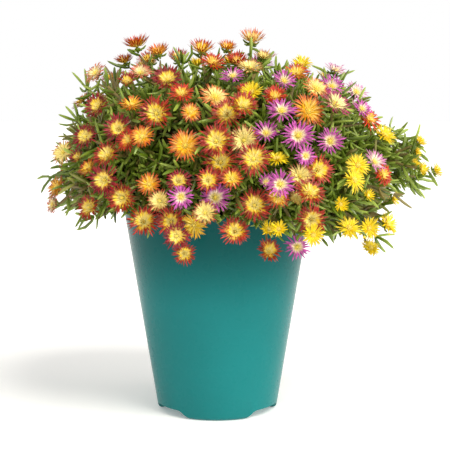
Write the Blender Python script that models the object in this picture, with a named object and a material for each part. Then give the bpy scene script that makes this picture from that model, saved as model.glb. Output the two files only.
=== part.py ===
"""A potted ice plant: three young plants of different flower colours in one tapered plastic pot.

Metres, +Z up. The origin is the centre of the pot's flat base. The viewer stands towards -Y.
"""
import math
import random

import bmesh
import bpy
from mathutils import Matrix, Quaternion, Vector
from mathutils.bvhtree import BVHTree

# Pot: a thin moulded grower pot with a straight taper
POT_HEIGHT = 0.184
POT_TOP_RADIUS = 0.0845
POT_BASE_RADIUS = 0.05254
POT_WALL = 0.0014
POT_FLOOR = 0.0078
POT_CORNER = 0.004
RIM_HEIGHT = 0.0045
RIM_STANDOUT = 0.002
POT_SIDES = 32
ARCH_COUNT = 4
ARCH_WIDTH = 0.030
ARCH_HEIGHT = 0.0055
ARCH_INNER_RADIUS = 0.036
DRAIN_RADIUS = 0.004
DRAIN_RING_RADIUS = 0.0425

# Soil: fills the pot to a little below the rim
GAP = 0.0003
SOIL_TOP = 0.172
SOIL_SIDES = 24
SOIL_LUMP = 0.0015

# Foliage mound: the outline that the leaf tips reach, measured from its centre above the pot's axis
MOUND_CENTRE_Z = 0.207
MOUND_LEFT = 0.142
MOUND_RIGHT = 0.160
MOUND_DEPTH = 0.135
MOUND_TOP = 0.112
MOUND_BOTTOM = 0.075
MOUND_POWER = 2.6
MOUND_SLOPE = 0.04

# Each plant's dense inner bush, which the leaves stand out of
CORE_INSET = 0.034
CORE_BASE_Z = 0.188
CORE_LUMP = 0.07
CORE_POINT = 0.011
CORE_POINT_LEAN = 0.5
CORE_RISES = (0, 18, 36, 54, 71)
CORE_STEPS = 8
CORE_FOOT_SHARE = 0.97
CORE_SPLIT = 0.0008
CROWN_RADIUS = 0.0045
CROWN_HOLE_RADIUS = 0.0049
CROWN_FROM_AXIS = 0.038
CROWN_FOOT_Z = 0.154
CROWN_SIDES = 8
CROWN_AZIMUTHS = (210, 330, 90)

# Leaves: fleshy fingers in star-shaped shoot tips
LEAF_LENGTH = 0.025
LEAF_WIDTH = 0.0036
LEAVES_PER_TIP = 8
LEAVES_PER_WHORL = 4
LEAF_OPENING = (52, 74)
WHORL_OPENING = 48
LEAF_NOTCH_RISE = 0.0014
TIP_CROWN = 0.0024
TIP_ROOT = 0.003
TIP_LEAN = 0.3
TIP_SPACING = 0.0345
SKIRT_TIPS = 6
TIP_TRIALS = 900
TIP_LIFT = 0.014
LEAF_ROOT = 0.0015
SHOOT_RADIUS = 0.0014
SHOOT_ROOT = 0.004
SHOOT_SAG = 0.002
BUSH_SEEDS = (31, 37, 50)

# Blooms: flat daisies on forked stalks
PETALS = (8, 10, 12)
SMALL_BLOOM = 0.0195
LARGE_BLOOM = 0.0285
PETAL_NOTCH = 0.60
UPPER_PETAL_REACH = 0.86
UPPER_PETAL_RISE = 0.24
LOWER_PETAL_RISE = 0.06
CENTRE_RISE = 0.17
BLOOM_ROOT = 0.30
TOP_BLOOMS_Z = 0.312
TURN_TO_EYE = 0.5
LOOK_UP = 0.15
STALK_RADIUS = 0.0010
FORK_RADIUS = 0.0027
FORK_TRIALS = 900
KNEE_TRIALS = 8
KNEE_DEPTH = (0.008, 0.020)
KNEE_SPREAD = 0.003
FORK_HEIGHT = (0.004, 0.016)
FOOT_HEIGHT = (0.0004, 0.0007)
SHARPEST_BEND = 0.2
CLEARANCE = 0.0008
SETTLE_CLEARANCE = 0.0017
SETTLE_STEP = 0.0015
SETTLE_STEPS = 20
FLAT_ANGLE = math.radians(0.05)

# The eye that the places of the front blooms are given for: it looks along +Y at the pot's axis
EYE = Vector((0.0, -1.03, 0.270))
SIGHT_START = 0.170
SIGHT_STEP = 0.001
SIGHT_STEPS = 240
SIGHT_DRIFT = 0.025

# Blooms that face the front, spray by spray: how far right of the axis, how high and how wide, in mm,
# as they appear in the upright plane through the pot's axis
FIRE_SPRAYS = (
    ((-72, 329, 29), (-83, 315, 22), (-52, 323, 24), (-69, 305, 22)),
    ((-109, 305, 24), (-107, 275, 28), (-81, 298, 18)),
    ((-77, 276, 24), (-55, 269, 32), (-89, 255, 28)),
    ((-119, 248, 26), (-99, 231, 28), (-80, 245, 22), (-68, 248, 22)),
    ((-139, 234, 26), (-126, 230, 16), (-145, 202, 26), (-149, 187, 20)),
    ((-116, 219, 22), (-102, 209, 31), (-116, 184, 25)),
    ((-62, 205, 22), (-86, 193, 30), (-67, 171, 31)),
    ((-14, 325, 27), (-4, 314, 27), (9, 327, 20)),
    ((31, 334, 27), (18, 315, 24), (29, 309, 28), (41, 319, 18)),
    ((-45, 299, 30), (-32, 287, 24), (-24, 270, 20)),
    ((-2, 283, 31), (9, 268, 31), (25, 289, 18), (23, 276, 28)),
    ((-29, 240, 31), (-1, 244, 32), (3, 225, 34)),
    ((24, 245, 28), (33, 228, 32)),
    ((-35, 208, 25), (-8, 209, 24), (13, 210, 22)),
    ((-52, 190, 23), (-42, 171, 28), (-37, 158, 26), (-30, 142, 22)),
    ((-21, 168, 24), (-11, 179, 24)),
    ((34, 186, 31), (16, 162, 28), (55, 194, 22)),
    ((47, 144, 24),),
    ((71, 304, 26), (52, 284, 24), (89, 291, 27), (82, 271, 34)),
    ((106, 277, 33), (137, 264, 26)),
    ((91, 218, 30), (75, 212, 26), (72, 192, 18), (84, 198, 29), (86, 173, 28)),
    ((150, 214, 24),),
)
MAGENTA_SPRAYS = (
    ((14, 302, 24),),
    ((60, 298, 24),),
    ((58, 271, 29),),
    ((44, 251, 26),),
    ((106, 307, 24), (103, 293, 27), (125, 288, 27), (130, 273, 22)),
    ((73, 249, 31), (102, 244, 27), (80, 231, 20)),
    ((57, 205, 26), (44, 207, 16)),
    ((-33, 194, 24),),
    ((-2, 193, 30),),
    ((73, 148, 24),),
    ((142, 225, 26),),
)
YELLOW_SPRAYS = (
    ((31, 288, 22),),
    ((54, 228, 22),),
    ((76, 313, 22),),
    ((151, 249, 26),),
    ((127, 222, 24), (124, 209, 24)),
    ((87, 159, 22),),
    ((47, 164, 17), (56, 164, 17)),
    ((112, 187, 16), (137, 195, 13), (120, 165, 25), (138, 165, 23)),
    ((155, 169, 25), (140, 147, 20), (160, 192, 16)),
    ((183, 243, 16), (180, 234, 13), (178, 224, 14), (185, 219, 15), (198, 217, 17)),
)
# Sprays behind, in rows round the back half: how high a row stands on the mound, and its colours
BACK_ROWS = ((4, ("yellow", "yellow", "magenta", "fire", "fire")),
             (33, ("yellow", "magenta", "fire", "fire")),
             (60, ("magenta", "yellow", "fire")))
BACK_SPRAY_BLOOMS = 3
BACK_SPREAD = (7, 10)
BACK_WIDTH = (0.024, 0.031)

# Shoots that stand out of the outline, by their furthest leaf tip: how far right of the axis, how
# far back and how high, in mm
SHOOT_TIPS = (
    (-123, 6, 302), (-136, -12, 266), (-152, 10, 216), (-112, -100, 180), (-31, -8, 326),
    (52, 16, 324), (122, 40, 300), (172, 4, 254), (190, 12, 204), (148, -30, 150),
    (128, 122, 224), (-104, 118, 244), (10, 152, 194), (-60, 130, 166),
)

COLOURS = {
    "pot": (0.035, 0.235, 0.220),
    "soil": (0.045, 0.028, 0.018),
    "leaf": (0.130, 0.260, 0.055),
    "fire": (0.720, 0.110, 0.030),
    "magenta": (0.600, 0.080, 0.480),
    "yellow": (0.900, 0.640, 0.010),
}


def clear_scene():
    for item in list(bpy.data.objects):
        bpy.data.objects.remove(item, do_unlink=True)


def make_object(name, shape, colour, roughness):
    """Turns a bmesh into a named object with a material of its own."""
    bmesh.ops.recalc_face_normals(shape, faces=shape.faces)
    mesh = bpy.data.meshes.new(name)
    shape.to_mesh(mesh)
    shape.free()
    item = bpy.data.objects.new(name, mesh)
    bpy.context.scene.collection.objects.link(item)
    material = bpy.data.materials.new(name)
    material.use_nodes = True
    shader = material.node_tree.nodes["Principled BSDF"]
    shader.inputs["Base Color"].default_value = (*COLOURS[colour], 1.0)
    shader.inputs["Roughness"].default_value = roughness
    mesh.materials.append(material)
    return item


def evaluated_bmesh(item):
    """The object's shape with its modifiers, as a bmesh of triangles."""
    bpy.context.view_layer.update()
    shape = bmesh.new()
    shape.from_object(item, bpy.context.evaluated_depsgraph_get())
    bmesh.ops.triangulate(shape, faces=shape.faces)
    return shape


def tree_of(shape):
    return BVHTree.FromBMesh(shape)


def grown(shape, amount):
    """A copy of a solid whose corners are pushed out, to test its clearance with."""
    copy = shape.copy()
    bmesh.ops.recalc_face_normals(copy, faces=copy.faces)
    copy.normal_update()
    moves = [corner.normal * amount for corner in copy.verts]
    for corner, move in zip(copy.verts, moves):
        corner.co += move
    return copy


def hits(shape, trees, clearance=CLEARANCE):
    """Whether a solid, with its clearance, meets any of the trees."""
    test = grown(shape, clearance)
    own = tree_of(test)
    test.free()
    return any(own.overlap(tree) for tree in trees)


def facing(point, direction, spin=0.0):
    """A placement at a point whose +Z looks along a direction."""
    turn = direction.to_track_quat("Z", "Y").to_matrix().to_4x4()
    return Matrix.Translation(point) @ turn @ Matrix.Rotation(spin, 4, "Z")


def star(placement, arms, notch, crown, root, stalk, stalk_radius):
    """A closed star: arms are (reach, height) tips round a raised crown.

    Its three-sided stalk runs from the root below the crown through the stalk's points.
    """
    shape = bmesh.new()
    count = len(arms)
    top = shape.verts.new(placement @ Vector((0.0, 0.0, crown)))
    edge = []
    for index, (reach, height) in enumerate(arms):
        angle = 2 * math.pi * index / count
        between = angle + math.pi / count
        edge.append(shape.verts.new(placement @ Vector(
            (reach * math.cos(angle), reach * math.sin(angle), height))))
        edge.append(shape.verts.new(placement @ Vector(
            (notch[0] * math.cos(between), notch[0] * math.sin(between), notch[1]))))
    under = placement @ Vector((0.0, 0.0, -root))
    down = (placement.translation - placement @ Vector((0.0, 0.0, 1.0))).normalized()
    points = [under] + stalk
    ways = [(after - before).normalized() for before, after in zip(points, points[1:])]
    rings = []
    for index, point in enumerate(points):
        way = (down + ways[0]) if index == 0 else ways[index - 1] + ways[min(index, len(ways) - 1)]
        turn = down.rotation_difference(way.normalized())
        ring = []
        for corner in range(3):
            angle = 2 * math.pi * (corner + 0.5) / 3
            side = placement.to_3x3() @ Vector((math.cos(angle), math.sin(angle), 0.0))
            width = stalk_radius * (1.3 if index == 0 else 1.0)
            ring.append(shape.verts.new(point + turn @ side * width))
        rings.append(ring)
    for index, corner in enumerate(edge):
        after = edge[(index + 1) % len(edge)]
        near = 3 * index // len(edge)
        following = 3 * (index + 1) // len(edge) % 3
        shape.faces.new((top, corner, after))
        shape.faces.new((rings[0][near], after, corner))
        if following != near:
            shape.faces.new((rings[0][near], rings[0][following], after))
    for high, low in zip(rings, rings[1:]):
        for index in range(3):
            after = (index + 1) % 3
            shape.faces.new((high[index], low[index], low[after]))
            shape.faces.new((high[index], low[after], high[after]))
    shape.faces.new(rings[-1])
    bmesh.ops.recalc_face_normals(shape, faces=shape.faces)
    return shape


def rod(points, radii, sides=3):
    """A closed rod of a few sides through the points."""
    shape = bmesh.new()
    rings = []
    for index, (point, radius) in enumerate(zip(points, radii)):
        before = points[max(index - 1, 0)]
        after = points[min(index + 1, len(points) - 1)]
        placement = facing(point, (after - before).normalized())
        rings.append([shape.verts.new(placement @ Vector(
            (radius * math.cos(2 * math.pi * side / sides),
             radius * math.sin(2 * math.pi * side / sides), 0.0))) for side in range(sides)])
    for low, high in zip(rings, rings[1:]):
        for side in range(sides):
            after = (side + 1) % sides
            shape.faces.new((low[side], low[after], high[after], high[side]))
    shape.faces.new(reversed(rings[0]))
    shape.faces.new(rings[-1])
    bmesh.ops.triangulate(shape, faces=shape.faces)
    return shape


def keep_largest(shape):
    """Fills any hollow that joining sealed and drops any scrap: only the largest skin stays."""
    unseen = set(shape.faces)
    skins = []
    while unseen:
        skin = []
        front = [unseen.pop()]
        while front:
            face = front.pop()
            skin.append(face)
            for edge in face.edges:
                for other in edge.link_faces:
                    if other in unseen:
                        unseen.discard(other)
                        front.append(other)
        skins.append(skin)
    largest = max(skins, key=len)
    scraps = [face for skin in skins if skin is not largest for face in skin]
    bmesh.ops.delete(shape, geom=scraps, context="FACES")


def fuse(name, solids, colour, roughness):
    """Joins closed solids into one named object."""
    first = make_object(name, solids[0], colour, roughness)
    if len(solids) == 1:
        return first
    repeats = bpy.data.collections.new(name + "_repeats")
    bpy.context.scene.collection.children.link(repeats)
    for solid in solids[1:]:
        piece = make_object(name + "_repeat", solid, colour, roughness)
        bpy.context.scene.collection.objects.unlink(piece)
        repeats.objects.link(piece)
    union = first.modifiers.new("join", "BOOLEAN")
    union.operation = "UNION"
    union.operand_type = "COLLECTION"
    union.collection = repeats
    union.solver = "MANIFOLD"
    shape = evaluated_bmesh(first)
    keep_largest(shape)
    bmesh.ops.dissolve_limit(shape, angle_limit=FLAT_ANGLE, verts=shape.verts, edges=shape.edges)
    bmesh.ops.triangulate(shape, faces=shape.faces)
    keep_largest(shape)
    first.modifiers.remove(union)
    for piece in list(repeats.objects):
        bpy.data.objects.remove(piece, do_unlink=True)
    bpy.data.collections.remove(repeats)
    shape.to_mesh(first.data)
    shape.free()
    return first


def lathe(profile, sides):
    """A turned solid from a closed (radius, height) profile whose ends lie on the axis."""
    shape = bmesh.new()
    corners = [shape.verts.new((radius, 0.0, height)) for radius, height in profile]
    edges = [shape.edges.new(pair) for pair in zip(corners, corners[1:])]
    bmesh.ops.spin(shape, geom=corners + edges, cent=(0, 0, 0), axis=(0, 0, 1),
                   angle=2 * math.pi, steps=sides, use_merge=True, use_duplicate=False)
    bmesh.ops.remove_doubles(shape, verts=shape.verts, dist=0.00001)
    return shape


def pot_radius(height):
    """The outer radius of the pot's wall at a height."""
    return POT_BASE_RADIUS + (POT_TOP_RADIUS - POT_BASE_RADIUS) * height / POT_HEIGHT


def cut(item, name, shape, solver="EXACT"):
    """Takes a solid out of an object."""
    cutter = make_object(name, shape, "soil", 1.0)
    cutter.hide_render = True
    cutter.display_type = "WIRE"
    difference = item.modifiers.new(name, "BOOLEAN")
    difference.operation = "DIFFERENCE"
    difference.object = cutter
    difference.solver = solver


def cylinder(radius, low, high, sides, place=Vector((0.0, 0.0, 0.0))):
    shape = bmesh.new()
    middle = Matrix.Translation(place + Vector((0.0, 0.0, (low + high) / 2)))
    bmesh.ops.create_cone(shape, cap_ends=True, segments=sides, radius1=radius, radius2=radius,
                          depth=high - low, matrix=middle)
    return shape


def build_pot():
    lip = POT_HEIGHT - RIM_HEIGHT
    inner_floor = pot_radius(POT_FLOOR) - POT_WALL
    profile = [
        (0.0, 0.0),
        (POT_BASE_RADIUS - POT_CORNER, 0.0),
        (POT_BASE_RADIUS - POT_CORNER * 0.3 + 0.0002, POT_CORNER * 0.3),
        (pot_radius(POT_CORNER), POT_CORNER),
        (pot_radius(lip), lip),
        (pot_radius(lip) + RIM_STANDOUT, lip + RIM_STANDOUT * 0.6),
        (pot_radius(lip) + RIM_STANDOUT, POT_HEIGHT - RIM_STANDOUT * 0.5),
        (pot_radius(lip) + RIM_STANDOUT * 0.4, POT_HEIGHT),
        (pot_radius(POT_HEIGHT) - POT_WALL, POT_HEIGHT - RIM_STANDOUT * 0.4),
        (inner_floor, POT_FLOOR),
        (0.0, POT_FLOOR),
    ]
    pot = make_object("pot", lathe(profile, POT_SIDES), "pot", 0.35)
    for index in range(ARCH_COUNT):
        angle = math.pi / 4 + 2 * math.pi * index / ARCH_COUNT
        out = Vector((math.cos(angle), math.sin(angle), 0.0))
        arch = bmesh.new()
        length = 2 * (POT_BASE_RADIUS - ARCH_INNER_RADIUS)
        middle = out * (ARCH_INNER_RADIUS + length / 2)
        stretch = Matrix.Diagonal((length, ARCH_WIDTH, 2 * ARCH_HEIGHT, 1.0))
        turned = Matrix.Translation(middle) @ Matrix.Rotation(angle, 4, "Z") @ stretch
        bmesh.ops.create_cube(arch, size=1.0, matrix=turned)
        cut(pot, "arch_cutter_%d" % (index + 1), arch)
        drain = cylinder(DRAIN_RADIUS, -0.001, POT_FLOOR + 0.002, 12, out * DRAIN_RING_RADIUS)
        cut(pot, "drain_cutter_%d" % (index + 1), drain)
    pot.data.shade_smooth()
    pot.data.set_sharp_from_angle(angle=math.radians(35))
    return pot


def crown_places():
    """Where the three plants stand: left, right and back of the pot's axis."""
    return [Vector((CROWN_FROM_AXIS * math.cos(angle), CROWN_FROM_AXIS * math.sin(angle), 0.0))
            for angle in map(math.radians, CROWN_AZIMUTHS)]


def build_soil():
    low = POT_FLOOR + GAP

    def radius(height):
        return (pot_radius(height) - POT_WALL * 1.02) * math.cos(math.pi / POT_SIDES) - GAP

    rings = ((0.97, 0.0), (0.66, 0.002), (0.33, 0.0025))
    top_radius = radius(SOIL_TOP)
    profile = [(0.0, low), (radius(low), low), (top_radius, SOIL_TOP - 0.001)]
    profile += [(top_radius * share, SOIL_TOP + rise) for share, rise in rings]
    profile.append((0.0, SOIL_TOP + 0.003))
    shape = lathe(profile, SOIL_SIDES)
    draw = random.Random(5)
    for corner in shape.verts:
        if corner.co.z > SOIL_TOP - 0.0005:
            corner.co.z += draw.uniform(-SOIL_LUMP, SOIL_LUMP)
    soil = make_object("soil", shape, "soil", 0.95)
    for index, place in enumerate(crown_places()):
        hole = cylinder(CROWN_HOLE_RADIUS, CROWN_FOOT_Z - GAP, SOIL_TOP + 0.02, 12, place)
        cut(soil, "crown_hole_cutter_%d" % (index + 1), hole, "MANIFOLD")
    return soil


def mound_value(point):
    """Under 1 inside the mound's outline, 1 on it."""
    side = MOUND_RIGHT if point.x > 0 else MOUND_LEFT
    lift = point.z - MOUND_CENTRE_Z + MOUND_SLOPE * point.x
    height = MOUND_TOP if lift > 0 else MOUND_BOTTOM
    return (abs(point.x / side) ** MOUND_POWER + abs(point.y / MOUND_DEPTH) ** MOUND_POWER
            + abs(lift / height) ** MOUND_POWER)


def mound_outward(point):
    """The direction that the mound's surface faces at a point."""
    step = 0.0005
    slope = [mound_value(point + axis * step) - mound_value(point - axis * step)
             for axis in (Vector((1, 0, 0)), Vector((0, 1, 0)), Vector((0, 0, 1)))]
    return Vector(slope).normalized()


def seen_at(across, height, drift):
    """The place on the mound that the eye sees at a place in the plane through the axis."""
    target = Vector((across, 0.0, height))
    sight = (target - EYE) / abs(EYE.y)
    best = None
    for step in range(SIGHT_STEPS):
        point = EYE + sight * (abs(EYE.y) - SIGHT_START + step * SIGHT_STEP)
        value = mound_value(point)
        if value <= 1.0:
            return point
        if best is None or value < best[0]:
            best = (value, point)
    return best[1] + sight * drift


def bloom_solid(point, direction, width, spin, stalk=None):
    """One bloom: two layers of pointed petals over a fleshy cone, on its stalk."""
    reach = width / 2
    count = PETALS[0] if width < SMALL_BLOOM else PETALS[1] if width < LARGE_BLOOM else PETALS[2]
    arms = []
    for petal in range(count):
        upper = petal % 2
        arms.append((reach * (UPPER_PETAL_REACH if upper else 1.0),
                     reach * (UPPER_PETAL_RISE if upper else LOWER_PETAL_RISE)))
    root = reach * BLOOM_ROOT
    if stalk is None:
        stalk = [point - direction * (root + STALK_RADIUS * 2)]
    return star(facing(point, direction, spin), arms, (reach * PETAL_NOTCH, 0.0),
                reach * CENTRE_RISE, root, stalk, STALK_RADIUS)


def bloom_facing(point, draw, to_eye=0.0):
    """Blooms look out of the mound and up to the light, and those in front turn to the eye."""
    outward = mound_outward(point)
    outward.z = max(outward.z, -0.05)
    wobble = Vector((draw.uniform(-0.2, 0.2), draw.uniform(-0.2, 0.2), draw.uniform(-0.12, 0.2)))
    below_top = min(max((TOP_BLOOMS_Z - point.z) / 0.03, 0.0), 1.0)
    turn = (EYE - point).normalized() * to_eye * below_top
    return (outward + Vector((0.0, 0.0, LOOK_UP)) + turn + wobble).normalized()


def back_sprays():
    """Colour, azimuth and rise of each spray's centre behind."""
    for degrees, colours in BACK_ROWS:
        for index, colour in enumerate(colours):
            yield colour, math.pi * (index + 0.5) / len(colours), math.radians(degrees)


def on_mound(azimuth, rise):
    """The place on the mound's outline in a direction from its centre."""
    direction = Vector((math.cos(azimuth) * math.cos(rise), math.sin(azimuth) * math.cos(rise),
                        math.sin(rise)))
    centre = Vector((0.0, 0.0, MOUND_CENTRE_Z))
    low, high = 0.02, 0.30
    for _ in range(24):
        middle = (low + high) / 2
        if mound_value(centre + direction * middle) < 1.0:
            low = middle
        else:
            high = middle
    return centre + direction * low


def list_blooms():
    """Every spray as (name, colour, blooms), a bloom being (place, direction, width, spin, push)."""
    sprays = []
    draw = random.Random(11)
    for colour, rows in (("fire", FIRE_SPRAYS), ("magenta", MAGENTA_SPRAYS),
                         ("yellow", YELLOW_SPRAYS)):
        for number, row in enumerate(rows):
            blooms = []
            for across, height, width in row:
                drift = draw.uniform(-SIGHT_DRIFT, SIGHT_DRIFT)
                point = seen_at(across / 1000, height / 1000, drift)
                direction = bloom_facing(point, draw, TURN_TO_EYE)
                push = (EYE - point).normalized()
                blooms.append([point, direction, width / 1000, draw.uniform(0, 1), push])
            sprays.append(("%s_spray_%02d" % (colour, number + 1), colour, blooms))
    numbers = {"fire": len(FIRE_SPRAYS), "magenta": len(MAGENTA_SPRAYS),
               "yellow": len(YELLOW_SPRAYS)}
    for colour, azimuth, rise in back_sprays():
        numbers[colour] += 1
        blooms = []
        for number in range(BACK_SPRAY_BLOOMS):
            turn = 2 * math.pi * (number / BACK_SPRAY_BLOOMS + draw.uniform(-0.06, 0.06))
            spread = math.radians(draw.uniform(*BACK_SPREAD))
            point = on_mound(azimuth + spread * math.cos(turn) / math.cos(rise),
                             rise + spread * math.sin(turn))
            direction = bloom_facing(point, draw)
            width = draw.uniform(*BACK_WIDTH)
            blooms.append([point, direction, width, draw.uniform(0, 1), mound_outward(point)])
        sprays.append(("%s_spray_%02d" % (colour, numbers[colour]), colour, blooms))
    return sprays


def settle_blooms(sprays, obstacles):
    """Brings a bloom forward until it is clear of every bloom before it."""
    trees = {name: [] for name, _, _ in sprays}
    settled = list(obstacles)
    for name, _, blooms in sprays:
        for bloom in blooms:
            solid = bloom_solid(*bloom[:4])
            for _ in range(SETTLE_STEPS):
                if not hits(solid, settled, SETTLE_CLEARANCE):
                    break
                solid.free()
                bloom[0] = bloom[0] + bloom[4] * SETTLE_STEP
                solid = bloom_solid(*bloom[:4])
            tree = tree_of(solid)
            trees[name].append(tree)
            settled.append(tree)
            solid.free()
    return trees


def nearest_core(point, cores):
    found = [tree.find_nearest(point) for tree in cores]
    return min(found, key=lambda hit: hit[3])


def knuckle(fork, foot):
    """The swollen node where a spray's stalks fork: eight faces, its lower point at the bush."""
    shape = bmesh.new()
    axis = (fork - foot).normalized()
    placement = facing(fork, axis)
    low = shape.verts.new(foot)
    high = shape.verts.new(fork + axis * FORK_RADIUS)
    belt = [shape.verts.new(placement @ Vector((FORK_RADIUS * math.cos(angle),
                                                FORK_RADIUS * math.sin(angle), 0.0)))
            for angle in (0.0, math.pi / 2, math.pi, 3 * math.pi / 2)]
    for index, corner in enumerate(belt):
        after = belt[(index + 1) % 4]
        shape.faces.new((high, corner, after))
        shape.faces.new((low, after, corner))
    bmesh.ops.recalc_face_normals(shape, faces=shape.faces)
    return shape


def bends_gently(root, direction, stalk):
    """Whether a stalk leaves the back of its bloom and turns no sharper than a plant's does."""
    ways = [(after - before).normalized() for before, after in zip([root] + stalk, stalk)]
    return ways[0].dot(-direction) > SHARPEST_BEND and ways[0].dot(ways[-1]) > SHARPEST_BEND


def grow_bloom(bloom, end, others, draw, cores, clearance=CLEARANCE):
    """A bloom whose stalk reaches an end point, straight or with a knee, clear of the rest."""
    point, direction, width = bloom[:3]
    root = point - direction * width * BLOOM_ROOT / 2
    for trial in range(KNEE_TRIALS):
        knee = point - mound_outward(point) * draw.uniform(*KNEE_DEPTH)
        knee += Vector([draw.gauss(0, KNEE_SPREAD) for _ in range(3)])
        stalk = [knee, end] if trial else [end]
        if not bends_gently(root, direction, stalk):
            continue
        solid = bloom_solid(*bloom[:4], stalk=stalk)
        if not hits(solid, others) and not hits(solid, cores, clearance):
            return solid
        solid.free()
    return None


def grow_spray(blooms, own_trees, cores, others, draw):
    """A spray's blooms on stalks that meet in one fork just above the bush.

    A lone bloom's stalk ends at the bush.
    """
    bases = [point - direction * width * 0.2 for point, direction, width, _, _ in blooms]
    middle = sum(bases, Vector()) / len(bases)
    for attempt in range(FORK_TRIALS):
        reach = 0.0005 * min(attempt, 50)
        jitter = Vector([draw.gauss(0, reach) for _ in range(3)])
        ground, outward, _, distance = nearest_core(middle + jitter, cores)
        if len(blooms) == 1:
            foot = ground + outward * draw.uniform(*FOOT_HEIGHT)
            solid = grow_bloom(blooms[0], foot, others, draw, cores, 0.0001)
            if solid:
                return [solid]
            continue
        fork = ground + outward * min(distance * 0.7, draw.uniform(*FORK_HEIGHT))
        solids = [knuckle(fork, ground + outward * GAP * 1.4)]
        blocked = hits(solids[0], others + own_trees)
        for index, bloom in enumerate(blooms):
            if blocked:
                break
            rest = own_trees[:index] + own_trees[index + 1:]
            solid = grow_bloom(bloom, fork, others + rest, draw, cores)
            blocked = solid is None
            if solid:
                solids.append(solid)
        if not blocked:
            return solids
        for solid in solids:
            solid.free()
    return None


def core_radius(azimuth):
    side = (MOUND_RIGHT if math.cos(azimuth) > 0 else MOUND_LEFT) - CORE_INSET
    depth = MOUND_DEPTH - CORE_INSET
    total = (abs(math.cos(azimuth) / side) ** MOUND_POWER
             + abs(math.sin(azimuth) / depth) ** MOUND_POWER)
    return total ** (-1 / MOUND_POWER)


def core_sector(start, sweep, steps):
    """A third of the dense inner bush, with flat inner sides."""
    shape = bmesh.new()
    top_height = MOUND_TOP - CORE_INSET
    rises = [math.radians(angle) for angle in CORE_RISES]
    rings = []
    for index in range(steps + 1):
        azimuth = start + sweep * index / steps
        out = Vector((math.cos(azimuth), math.sin(azimuth), 0.0))
        column = []
        for rise in rises:
            lump = 1 + CORE_LUMP * math.sin(3 * azimuth + 5 * rise) * math.cos(5 * azimuth)
            radius = core_radius(azimuth) * math.cos(rise) ** (2 / MOUND_POWER) * lump
            height = MOUND_CENTRE_Z + top_height * math.sin(rise) ** (2 / MOUND_POWER) * lump
            place = out * radius
            place.z = height - MOUND_SLOPE * place.x
            column.append(place)
        foot = column[0] * CORE_FOOT_SHARE
        foot.z = CORE_BASE_Z
        rings.append([shape.verts.new(place) for place in [foot] + column])
    apex = shape.verts.new((0.0, 0.0, MOUND_CENTRE_Z + top_height))
    centre = shape.verts.new((0.0, 0.0, CORE_BASE_Z))
    outside = []
    for left, right in zip(rings, rings[1:]):
        for low, high in zip(range(len(left)), range(1, len(left))):
            face = shape.faces.new((left[low], right[low], right[high], left[high]))
            if low > 0:
                outside.append(face)
        shape.faces.new((left[-1], right[-1], apex))
        shape.faces.new((right[0], left[0], centre))
    shape.faces.new([centre] + rings[0] + [apex])
    shape.faces.new([centre] + rings[-1] + [apex])
    middle = start + sweep / 2
    shift = Vector((math.cos(middle), math.sin(middle), 0.0)) * CORE_SPLIT
    bmesh.ops.translate(shape, verts=shape.verts, vec=shift)
    bmesh.ops.recalc_face_normals(shape, faces=shape.faces)
    shape.normal_update()
    draw = random.Random(round(start * 100))
    points = bmesh.ops.poke(shape, faces=outside, offset=0.0)["verts"]
    shape.normal_update()
    for point in points:
        lean = Vector((0.0, 0.0, draw.uniform(-CORE_POINT_LEAN, CORE_POINT_LEAN)))
        point.co += (point.normal + lean) * CORE_POINT * draw.uniform(0.4, 1.1)
    bmesh.ops.triangulate(shape, faces=shape.faces)
    return shape


def leaf_tip(placement, length, opening, draw, count, stalk_end):
    """A shoot tip seen from its end: finger leaves that fan out round it."""
    arms = []
    for leaf in range(count):
        angle = opening * draw.uniform(0.85, 1.15) * (0.5 if leaf % 2 else 1.0)
        long = length * draw.uniform(0.85, 1.0)
        arms.append((long * math.sin(angle), long * math.cos(angle)))
    notch = LEAF_WIDTH / (2 * math.sin(math.pi / count))
    return star(placement, arms, (notch, LEAF_NOTCH_RISE), TIP_CROWN, LEAF_ROOT, [stalk_end],
                SHOOT_RADIUS)


def tip_places(core, start, sweep):
    """Even places on a bush's outside, then a skirt of places along its lower edge."""
    golden = math.pi * (3 - math.sqrt(5))
    centre = Vector((0.0, 0.0, CORE_BASE_Z + 0.016))
    rays = []
    for index in range(TIP_TRIALS):
        height = 1 - 1.1 * (index + 0.5) / TIP_TRIALS
        azimuth = index * golden
        level = math.sqrt(1 - height * height)
        rays.append((azimuth, level, Vector((math.cos(azimuth) * level,
                                             math.sin(azimuth) * level, height)), False))
    for index in range(SKIRT_TIPS):
        azimuth = start + sweep * (index + 0.5) / SKIRT_TIPS
        rays.append((azimuth, 1.0, Vector((math.cos(azimuth), math.sin(azimuth), -0.22)), True))
    for azimuth, level, direction, skirt in rays:
        if (azimuth - start) % (2 * math.pi) > sweep:
            continue
        out = Vector((math.cos(azimuth), math.sin(azimuth), 0.0))
        point, outward, _, _ = core.ray_cast(centre + out * (0.004 + 0.05 * level), direction)
        if point is None or (skirt and outward.z < -0.8):
            continue
        aim = out + Vector((0.0, 0.0, -0.5)) if skirt else outward + mound_outward(point)
        yield point, aim.normalized(), skirt


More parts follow.
